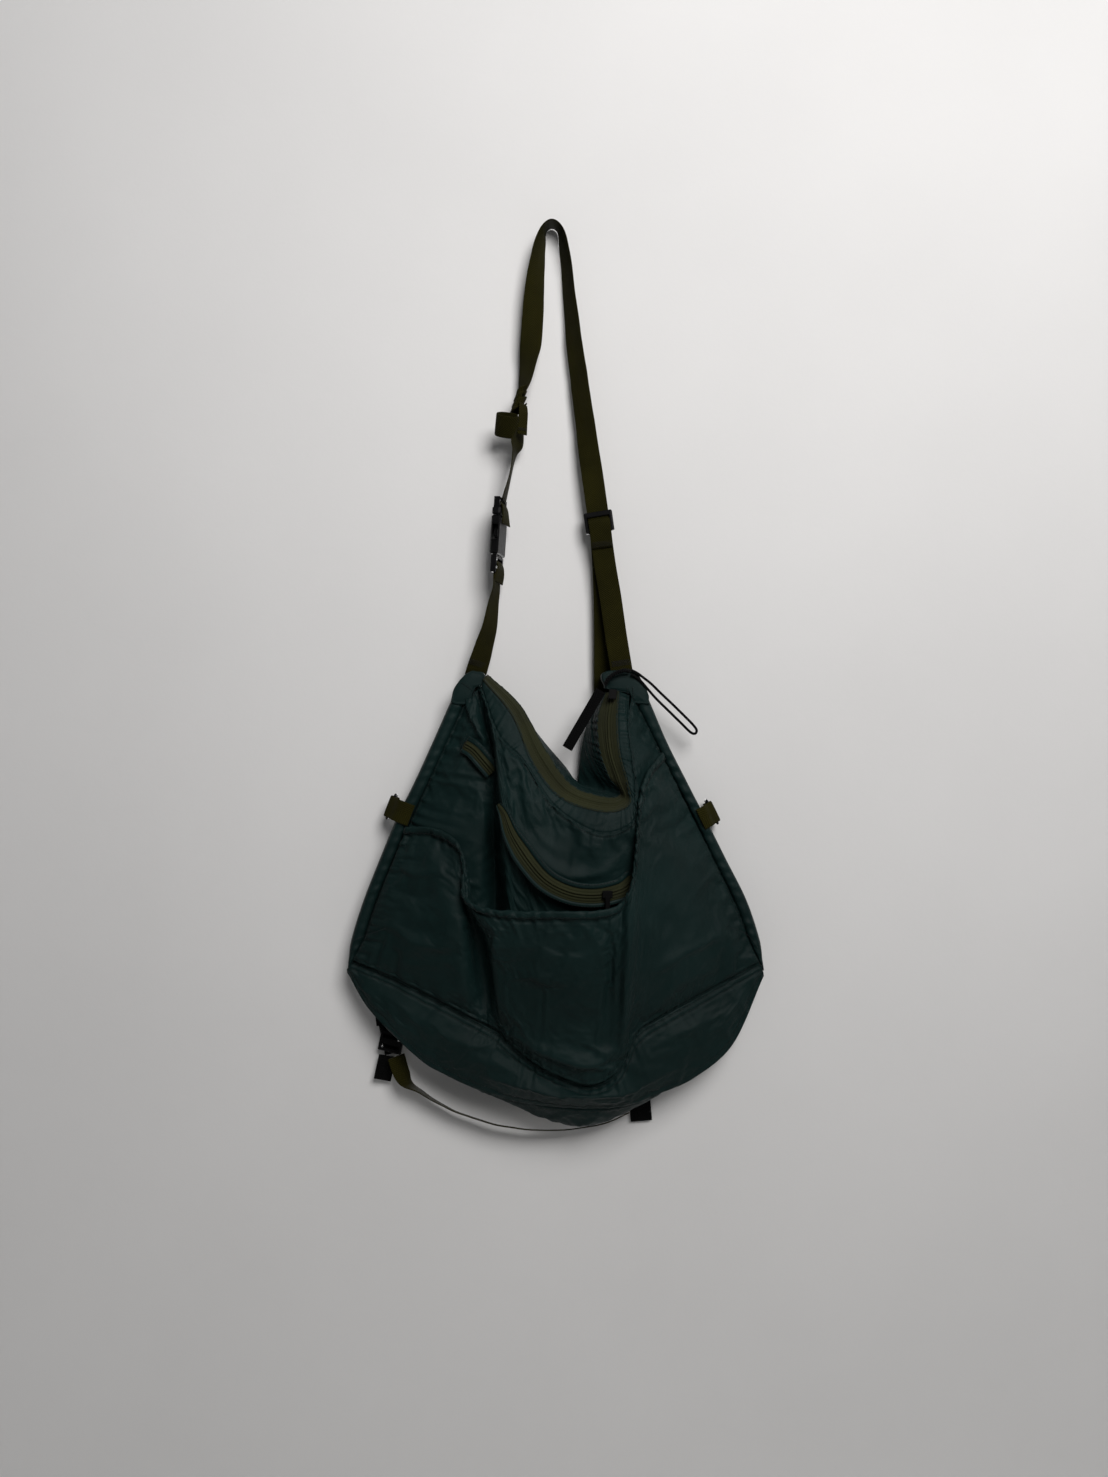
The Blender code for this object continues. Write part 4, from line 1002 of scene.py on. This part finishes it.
def make_corners(mats):
    """The padded patches over the two top corners."""
    for side, outline in (("left", LEFT_PATCH), ("right", RIGHT_PATCH)):
        ring = smooth_line([*outline, outline[0]], 10)[:-1]
        ring[:, 1] -= 7.0 * np.clip((-538 - ring[:, 1]) / 8, 0, 1)
        ring[:, 0] += np.where(np.abs(ring[:, 0]) < 86, np.sign(-ring[:, 0]) * 5.0, 0.0)
        middle = ring.mean(axis=0)
        ripple = 0.02 * waves(lengths(ring), 9, 57)[:, None]
        layers = [(0.90, PATCH_BACK), (1.02, PATCH_BACK + 3), (1.06, 22), (1.06, PATCH_FRONT - 3),
                  (1.04, PATCH_FRONT + 0.2), (0.98, PATCH_FRONT + 1.6), (0.89, PATCH_FRONT + 0.8),
                  (0.80, PATCH_FRONT + 1.8), (0.4, PATCH_FRONT + 2.4)]
        profile = []
        for share, d in layers:
            flat = middle + (ring - middle) * (share + ripple)
            profile.append(np.column_stack([flat, np.full(len(flat), float(d))]))
        grid = np.stack(profile)
        uv = grid[..., :2] * MM
        patch = swept(f"{side}_corner", world(grid), mats["nylon"], "shell_nylon", uv=uv,
                      replaces=[f"{side}_corner_patch"])
        smooth = patch.modifiers.new("smooth", "SUBSURF")
        smooth.levels = smooth.render_levels = 1


def make_binding(mats, pocket):
    """The rolled binding over the pocket's mouth."""
    line = pocket[0]
    up = unit(pocket[0] - pocket[2])
    out = normals(pocket)[0]
    s = lengths(line)
    sides = 14
    swell = 1 + 0.16 * waves(s, 8, 61)
    profile = []
    for k in range(sides):
        a = 2 * pi * k / sides
        high = BINDING_WIDTH / 2 * cos(a)
        wide = BINDING_THICKNESS / 2 * rounded(sin(a), 0.7) * 1.35
        profile.append(line + up * (high - 1.0) + out * (wide * swell + 0.9)[:, None])
    grid = np.stack(profile, axis=1)
    uv = round_uv(np.arange(sides) * 1.3, s) * MM
    swept("pocket_mouth_binding", world(grid), mats["nylon"], "shell_nylon", uv=uv,
          replaces=["pocket_binding"])
    return line - up * 3.6 + out * (BINDING_THICKNESS / 2 + 1.6), out


# ---- zips ----

def zip_band(name, edge_a, edge_b, mats, replaces):
    """A closed zip seen from its flat side: two tapes, and the ribbed ridge where their coils meet below."""
    rows = between_edges(edge_a, edge_b, np.linspace(-0.04, 1.04, ZIP_ROWS))
    grid = np.stack([smooth_line(row, 20) for row in rows])
    away = lengths(grid, 0)
    middle = away - away[-1:] / 2
    s = lengths(grid[ZIP_ROWS // 2])
    wave = 0.35 * waves(s, 24, 71)[None] * (np.abs(middle) / away.max())
    grid = grid + normals(grid) * (zip_relief(middle) + wave - 0.4)[..., None]
    cloth_piece(name, grid, mats["tape"], "olive_zip_tape", thickness=ZIP_CLOTH, replaces=replaces)
    return grid


def zip_relief(across):
    """The height of a closed zip's flat side: two coils' ridges, a slot between, and stitched ribs beside."""
    out = np.abs(across)
    ribs = -0.5 * bell(out - 3.4, 0.5) - 0.5 * bell(out - 6.6, 0.5)
    return 1.1 * bell(out - 1.5, 1.0) - 1.5 * bell(across, 0.6) + ribs


def make_main_zip(mats):
    grid = zip_band("main_zip", ZIP_BACK_EDGE, ZIP_FRONT_EDGE, mats,
                    ["main_zip_tape_front", "main_zip_tape_back"])
    middle = ZIP_ROWS // 2
    below = grid[middle] - normals(grid)[middle] * 1.6
    round_tube("main_zip_chain", world(below), 1.3 * MM, mats["coil"], "zip_coil", sides=8,
               replaces=["main_zip_coil"])


def across_line(line):
    """For a line across the bag's front, the unit vectors in the wall's plane that point up from it."""
    way = np.gradient(line, axis=0)
    return unit(np.stack([-way[:, 1], way[:, 0], np.zeros(len(line))], axis=-1))


def front_zip_stretch(name, centre, half, narrow, mats, replaces):
    """A visible stretch of the second zip, with a folded cloth lip over each tape edge. It starts narrow."""
    line = smooth_line(centre, 14)
    up = across_line(line) * (0.22 + 0.78 * np.clip(lengths(line) / narrow, 0, 1) ** 0.8)[:, None]
    rows = []
    for offset in np.linspace(half, -half, ZIP_ROWS):
        back = 2.6 * (abs(offset) / half) ** 2
        row = line + up * offset
        row[:, 2] += zip_relief(offset) - back
        rows.append(row)
    cloth_piece(name, np.stack(rows), mats["tape"], "olive_zip_tape", thickness=ZIP_CLOTH, replaces=replaces)
    for side, sign, high, thick in (("upper", 1, 3.0, 1.5), ("lower", -1, 2.2, 1.0)):
        spine = line + up * sign * (half - 0.6)
        spine[:, 2] -= 1.0
        s = lengths(line)
        swell = 1 + 0.12 * waves(s, 10, 81)
        profile = []
        for k in range(12):
            a = 2 * pi * k / 12
            ring = spine + up * high * cos(a)
            ring[:, 2] += thick * sin(a) * swell
            profile.append(ring)
        lip = np.stack(profile, axis=1)
        swept(f"{name}_{side}_lip", world(lip), mats["nylon"], "shell_nylon")
        stitch_line = spine + up * sign * 1.6
        stitch_line[:, 2] += thick + 0.2
        out = np.tile(OUTWARDS, (len(line), 1))
        stitches(f"{name}_{side}_stitches", world(stitch_line), out, mats["thread"])


def make_front_zip(mats):
    half = FRONT_ZIP_WIDTH / 2
    seen = [(-59, -667, 82), *FRONT_ZIP, (80, -757, 93), (93, -746, 84)]
    front_zip_stretch("front_zip", seen, half, 60.0, mats, ["front_zip_tape_upper", "front_zip_tape_lower"])
    under = smooth_line(FRONT_ZIP, 10)
    under[:, 2] -= 2.4
    round_tube("front_zip_chain", world(under), 1.1 * MM, mats["coil"], "zip_coil", sides=8,
               replaces=["front_zip_coil"])
    front_zip_stretch("front_zip_left", [*FRONT_ZIP_LEFT, (-66, -633, 56)], 8.5, 1.0, mats,
                      ["front_zip_left_end"])


# ---- webbing ----

def webbing(name, stations, width, material, slot, thickness=WEBBING_THICKNESS, each=8, start=0.0, end=0.0,
            lean=0.0, **says):
    """Woven webbing along stations (x, z, d, turn). It can run on past each end, and lean."""
    points = smooth_line(stations, each)
    centres, turn = world(points[:, :3]), np.radians(points[:, 3])
    along = unit(np.gradient(centres, axis=0))
    if start:
        centres = np.vstack([centres[0] - along[0] * start * MM, centres])
        turn, along = np.append(turn[0], turn), np.vstack([along[0], along])
    if end:
        centres = np.vstack([centres, centres[-1] + along[-1] * end * MM])
        turn, along = np.append(turn, turn[-1]), np.vstack([along, along[-1]])
    side = np.stack([np.cos(turn), np.sin(turn), lean * np.sin(turn)], axis=-1)
    side = squared(side, along)
    return flat_band(name, centres, side, width, thickness, material, slot, **says)


def flat_band(name, centres, side, width, thickness, material, slot, **says):
    """A flat woven band through centres in metres, with side vectors across it."""
    along = unit(np.gradient(centres, axis=0))
    up = unit(np.cross(side, along))
    s = lengths(centres)
    seed = sum(map(ord, name)) % 97
    drift = 0.18 * waves(s / MM, 38, seed)[:, None] * up * MM
    profile, uv = [], []
    for k in range(WEBBING_SIDES):
        a = 2 * pi * (k + 0.5) / WEBBING_SIDES
        out = rounded(cos(a), 0.55)
        high = rounded(sin(a), 0.5) * (1 + 0.12 * bell(abs(out) - 0.9, 0.08))
        profile.append(centres + drift + side * out * width / 2 * MM + up * high * thickness / 2 * MM)
        uv.append(np.stack([np.full_like(s, out * width / 2 * MM), s], axis=-1))
    return swept(name, np.stack(profile, axis=1), material, slot, uv=np.stack(uv, axis=1), **says)


def bar_tack(name, centre, turn, way, width, material, rows, body="bag"):
    """A sewn bar of close zigzag stitches across webbing that runs the way given, in x, z and d."""
    side = np.array((cos(radians(turn)), sin(radians(turn)), 0.0))
    along = unit(direction(way))
    side = squared(side, along)
    centre, points, steps = np.array(at(*centre)), [], int(width / 0.9)
    for row in range(rows):
        for k in range(steps + 1):
            share = k / steps if row % 2 == 0 else 1 - k / steps
            zig = 0.55 if k % 2 else -0.55
            points.append(centre + side * (share - 0.5) * width * MM + along * ((row - 1) * 1.7 + zig) * MM)
    round_tube(name, points, THREAD / 2 * MM, material, "olive_webbing", sides=5, body=body)


def squared(side, along):
    """The side vectors turned until they are square to the way along."""
    return unit(side - (side * along).sum(-1, keepdims=True) * along)


def make_strap(mats):
    """The shoulder webbing's pieces, from the adjuster over the nail to the buckle, and their bar tacks."""
    pieces = {}
    for name, stations, width, says in (
        ("shoulder_strap", STRAP_UPPER, WEBBING_WIDTH, {"each": 9, "end": 9, "replaces": ["strap_upper"]}),
        ("strap_return", STRAP_RETURN, WEBBING_WIDTH, {"end": 36, "replaces": ["strap_return_ply"]}),
        ("left_anchor_strap", STRAP_LEFT_ANCHOR, WEBBING_WIDTH,
         {"start": 8.5, "end": 10, "replaces": ["strap_left_anchor"]}),
        ("buckle_link_strap", STRAP_LINK, WEBBING_WIDTH, {"start": 6, "end": 5, "replaces": ["strap_link"]}),
        ("square_cut_ply", SQUARE_PLY, 12.0, {"replaces": ["strap_square_ply"]}),
        ("glide_sewn_ply", GLIDE_SEWN_PLY, WEBBING_WIDTH, {"body": "tri_glide"}),
        ("buckle_plug_webbing", PLUG_WEBBING, WEBBING_WIDTH, {"each": 6, "body": "buckle_plug"}),
        ("buckle_ladder_webbing", LADDER_WEBBING, WEBBING_WIDTH, {"each": 6}),
    ):
        pieces[name] = webbing(name, stations, width, mats["olive"], "olive_webbing", **says)
    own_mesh(pieces["buckle_link_strap"])
    thread = mats["dark_thread"]
    bar_tack("glide_tack", (57.3, -371, 25.1), 172, (0.13, -1, 0), 22, thread, 4, body="tri_glide")
    bar_tack("anchor_tack", (-85.5, -508, 22.6), 26, (-0.3, -1, 0), 20, thread, 4)
    bar_tack("right_end_tack", (78.3, -508, 30.6), 180, (0.15, -1, 0.1), 20, thread, 4)
    bar_tack("square_ply_tack", (-33.8, -244, 35.4), 28, (-0.03, -1, 0), 10, thread, 2)
    make_wrap(mats)
    make_tail_loop(mats)


def make_wrap(mats):
    """The webbing's gathered turns that hold the loose tail."""
    turns, each = 3, 40
    points = []
    for k in range(turns * each + 1):
        share = k / (turns * each)
        a = 2 * pi * turns * share
        z = -197.0 - 21.0 * share + 4.5 * cos(a)
        wide, deep = 5.2 + 3.0 * share, 6.0 + 2.6 * share
        points.append((-36.0 - 3.0 * share + wide * cos(a), z, 24 + deep * sin(a)))
    centres = world(points)
    side = np.tile((0.45, 0.0, 1.0), (len(points), 1))
    along = unit(np.gradient(centres, axis=0))
    side = squared(side, along)
    flat_band("strap_wrap_turns", centres, side, 8.0, 1.8, mats["olive"], "olive_webbing",
              replaces=["strap_wrap"])


def make_tail_loop(mats):
    """The tail, rolled into an open loop."""
    axis = unit(np.array((0.14, -0.62, 1.0)))
    across = unit(np.cross((0.0, 1.0, 0.0), axis))
    inwards = np.cross(axis, across)
    a = np.radians(np.linspace(35, 352, 60))[:, None]
    ring = across * (12.5 * rounded(np.cos(a), 0.8)) + inwards * 8.0 * np.sin(a)
    centres = np.array(at(-51.5, -238.0, 33)) + ring * MM
    flat_band("rolled_tail", centres, np.tile(axis, (len(centres), 1)), WEBBING_WIDTH, WEBBING_THICKNESS,
              mats["olive"], "olive_webbing", replaces=["strap_tail_loop"])


def make_side_loops(mats):
    """Webbing tabs on the rim, each folded over one bar of a ring."""
    for side, ((x, z), angle, length) in SIDE_LOOPS.items():
        out = np.array((cos(radians(angle)), 0, sin(radians(angle))))
        along = np.cross(out, (0, 1, 0))
        start = np.array(at(x, z, 0))
        middle, radius = 21.0, 3.6
        first = 0 if side == "left" else 9
        profile = [(first, 36.4), (11, 36.4), (18, 34.5), (length - 3.5, 28.5)]
        turned = np.radians((60, 15, -30, -75))
        profile += [(length + radius * cos(a), middle + radius * sin(a)) for a in turned]
        profile += [(length - 2.5, 16.6), (length - 5, 15)]
        path = smooth_line(profile, 6)
        centres = start + out * path[:, :1] * MM + np.array(OUTWARDS) * path[:, 1:] * MM
        flat_band(f"{side}_loop", centres, np.tile(along, (len(centres), 1)), WEBBING_WIDTH,
                  WEBBING_THICKNESS + 0.5, mats["loop"], "olive_webbing", replaces=[f"{side}_side_loop"])


def make_bottom_straps(mats):
    webbing("bottom_webbing", BOTTOM_STRAP, BOTTOM_WEBBING_WIDTH, mats["olive"], "olive_webbing", each=9,
            lean=-0.33, replaces=["bottom_strap"])
    for name, stations, width, replaces in (
        ("bottom_square_tail", BOTTOM_TAIL, BOTTOM_WEBBING_WIDTH, ["bottom_strap_tail"]),
        ("bottom_anchor_webbing", BOTTOM_ANCHOR, WEBBING_WIDTH, ["bottom_anchor"]),
        ("lock_webbing", LOCK_WEBBING, BOTTOM_WEBBING_WIDTH, []),
    ):
        webbing(name, stations, width, mats["black"], "black_webbing", replaces=replaces)
    webbing("right_corner_lining", CORNER_LINING, 24, mats["lining"], "shell_nylon", thickness=1.2, each=4)
    webbing("right_tab_webbing", RIGHT_TAB, WEBBING_WIDTH, mats["black"], "black_webbing",
            replaces=["bottom_right_tab"])


# ---- pulls ----

def make_pull_cord(mats):
    """The thin cord that goes out from the slider's wrap, round a loop and back."""
    line = world(even_line(smooth_line(PULL_CORD, 8), 1.5))
    cord = round_tube("pull_cord_loop", line, CORD_DIAMETER / 2 * MM, mats["cord"], "black_cord", sides=12,
                      body="main_slider", replaces=["pull_cord"])


def make_pulls(mats):
    """The cord wound round the slider's ring, and the flat webbing tab that hangs from it."""
    line = even_line(smooth_line(PULL_WRAP, 8), 0.5)
    s = lengths(line)
    along = unit(np.gradient(line, axis=0))
    side = unit(np.cross(along, (0.0, 0.0, 1.0)))
    up = np.cross(side, along)
    angle = 2 * pi * s / 2.6
    turns = line + side * np.cos(angle)[:, None] * 1.5 + up * np.sin(angle)[:, None] * 1.5
    turns = even_line(turns, 0.6)
    round_tube("slider_cord_wrap", world(turns), 1.25 * MM, mats["cord"], "black_cord", sides=8,
               body="main_slider", replaces=["pull_wrap"])
    core = smooth_line(PULL_WRAP, 6)
    round_tube("slider_cord_core", world(core), 1.4 * MM, mats["cord"], "black_cord", sides=8,
               body="main_slider")
    top, end = np.array(at(*TAB_TOP)), np.array(at(*TAB_END))
    centres = top + (end - top) * np.linspace(0, 1, 30)[:, None]
    width_axis = unit(np.cross(end - top, (0, 1, 0)))
    flat_band("pull_tab_webbing", centres, np.tile(width_axis, (30, 1)), TAB_WIDTH, TAB_THICKNESS,
              mats["black"], "black_webbing", body="main_pull_tab", replaces=["pull_tab"])


# ---- fittings that keep their CAD shape ----

def finish_fittings(mats):
    looks = {"slider_metal": "metal", "black_plastic": "plastic", "black_cord": "cord"}
    slots = {part["node"]: part["material_slot"] for part in frame["record"]["subparts"]}
    for name, obj in frame["nodes"].items():
        if slots[name] in looks:
            obj.data.materials.clear()
            obj.data.materials.append(mats[looks[slots[name]]])


# ---- stitching ----

def make_stitching(mats, front, base, rear, strips, binding_line):
    """The rows of stitches beside the seams, and the short bars at the corners and zip ends."""
    thread = mats["thread"]
    for name, grid, edge, offset in (
        ("base_seam_upper", base, "top", 3.0), ("base_seam_lower", base, "top", 9.5),
        ("base_hem", base, "bottom", 7.0), ("rear_seam", rear, "top", 5.0),
        ("front_strip_seam", front, "top", 2.5), ("strip_hem", strips[0], "top", 2.0),
        ("back_strip_hem", strips[1], "top", 2.0),
        ("front_left_seam", front, "left", 1.5), ("front_right_seam", front, "right", 1.5),
    ):
        line, out = line_on(grid, edge, offset)
        stitches(f"{name}_stitches", line, out, thread)
    line, out = binding_line
    stitches("binding_stitches", world(line), direction(out), thread)
    for name, ends in (
        ("left_corner_seam", [(-103, -531, 38.2), (-90, -540, 38.4), (-81, -548, 38.0)]),
        ("right_corner_bar_1", [(85.5, -537, 38.4), (86.5, -551, 38.0)]),
        ("right_corner_bar_2", [(91.5, -536, 38.4), (92.5, -550, 38.0)]),
        ("front_zip_stop_1", [(-95.5, -590, 53.5), (-100, -599, 54), (-106.5, -610, 52.5)]),
        ("front_zip_stop_2", [(-92.5, -592, 54.5), (-97, -601, 55), (-103.5, -612, 53.5)]),
        *((f"{side}_dart", line) for side, line in DARTS.items()),
    ):
        line = world(smooth_line(ends, 8))
        stitches(f"{name}_stitches", line, np.tile(OUTWARDS, (len(line), 1)), thread, pitch=2.6)


# ---- stage ----

def make_stage():
    wall_y = WALL_BEHIND_PEG_POINT * MM
    floor_z, half, front = -1.75, 3.2, -4.0
    wall = plain_mesh("wall", np.array([[-half, wall_y, floor_z], [half, wall_y, floor_z],
                                        [half, wall_y, 1.6], [-half, wall_y, 1.6]]), [(0, 1, 2, 3)])
    wall.data.materials.append(painted_wall("wall_paint"))
    floor = plain_mesh("floor", np.array([[-half, front, floor_z], [half, front, floor_z],
                                          [half, half, floor_z], [-half, half, floor_z]]), [(0, 1, 2, 3)])
    paint = new_material("floor_paint", 0.8, Specular_IOR_Level=0.2)[0]
    paint.node_tree.nodes["Principled BSDF"].inputs["Base Color"].default_value = (0.72, 0.715, 0.70, 1)
    floor.data.materials.append(paint)
    return wall


def area_light(name, place, target, size, power, color=(1, 1, 1), spread=180):
    data = bpy.data.lights.new(name, "AREA")
    data.energy, data.color = power, color
    data.shape, data.size, data.size_y = "RECTANGLE", *size
    data.spread = radians(spread)
    lamp = bpy.data.objects.new(name, data)
    lamp.location = place
    lamp.rotation_euler = (Vector(target) - Vector(place)).to_track_quat("-Z", "Y").to_euler()
    bpy.context.scene.collection.objects.link(lamp)
    return lamp


def make_light(wall):
    """A soft key from the upper right, a dim room, and a lamp behind the wall that lights the bag's back."""
    world_light = bpy.data.worlds.new("studio")
    world_light.use_nodes = True
    tree = world_light.node_tree
    background = tree.nodes["Background"]
    background.inputs["Color"].default_value = (0.94, 0.96, 1.0, 1)
    seen = node(tree, "LightPath").outputs["Is Camera Ray"]
    strength = node(tree, "MapRange", {"Value": seen, "To Min": ROOM_LIGHT, "To Max": BACKDROP_LIGHT})
    tree.links.new(strength.outputs["Result"], background.inputs["Strength"])
    bpy.context.scene.world = world_light
    area_light("key", (0.8, -2.1, 0.9), (0.15, 0.0, 0.1), (1.3, 1.3), 29, (1.0, 0.985, 0.975), spread=120)
    back_fill = area_light("back_fill", (0.1, 2.4, -0.6), (0.0, 0.0, -0.7), (1.2, 1.2), 26)
    blockers = bpy.data.collections.new("back_fill_blockers")
    blockers.objects.link(wall)
    blockers.collection_objects[0].light_linking.link_state = "EXCLUDE"
    back_fill.light_linking.blocker_collection = blockers
    spared = bpy.data.collections.new("back_fill_spared")  # the pieces that it would glint on
    for name in ("back_strip_shell", "front_strip_shell", "main_zip_slider"):
        spared.objects.link(bpy.data.objects[name])
    for entry in spared.collection_objects:
        entry.light_linking.link_state = "EXCLUDE"
    back_fill.light_linking.receiver_collection = spared


def make_camera():
    data = bpy.data.cameras.new("camera")
    data.lens, data.sensor_width = CAMERA_LENS, CAMERA_SENSOR
    camera = bpy.data.objects.new("camera", data)
    camera.location = CAMERA_PLACE
    camera.rotation_euler = (pi / 2, 0, 0)
    bpy.context.scene.collection.objects.link(camera)
    bpy.context.scene.camera = camera
    bpy.context.scene.view_settings.view_transform = "Standard"


def main():
    make_camera()
    mats = make_materials()
    make_pull_cord(mats)
    front = make_front(mats)
    pocket = make_pocket(mats)
    base, rear = make_base(mats)
    make_back(mats)
    strips = make_top_strips(mats)
    make_bands(mats)
    make_corners(mats)
    binding_line = make_binding(mats, pocket)
    make_main_zip(mats)
    make_front_zip(mats)
    make_strap(mats)
    make_side_loops(mats)
    make_bottom_straps(mats)
    make_pulls(mats)
    finish_fittings(mats)
    make_stitching(mats, front, base, rear, strips, binding_line)
    make_light(make_stage())


main()
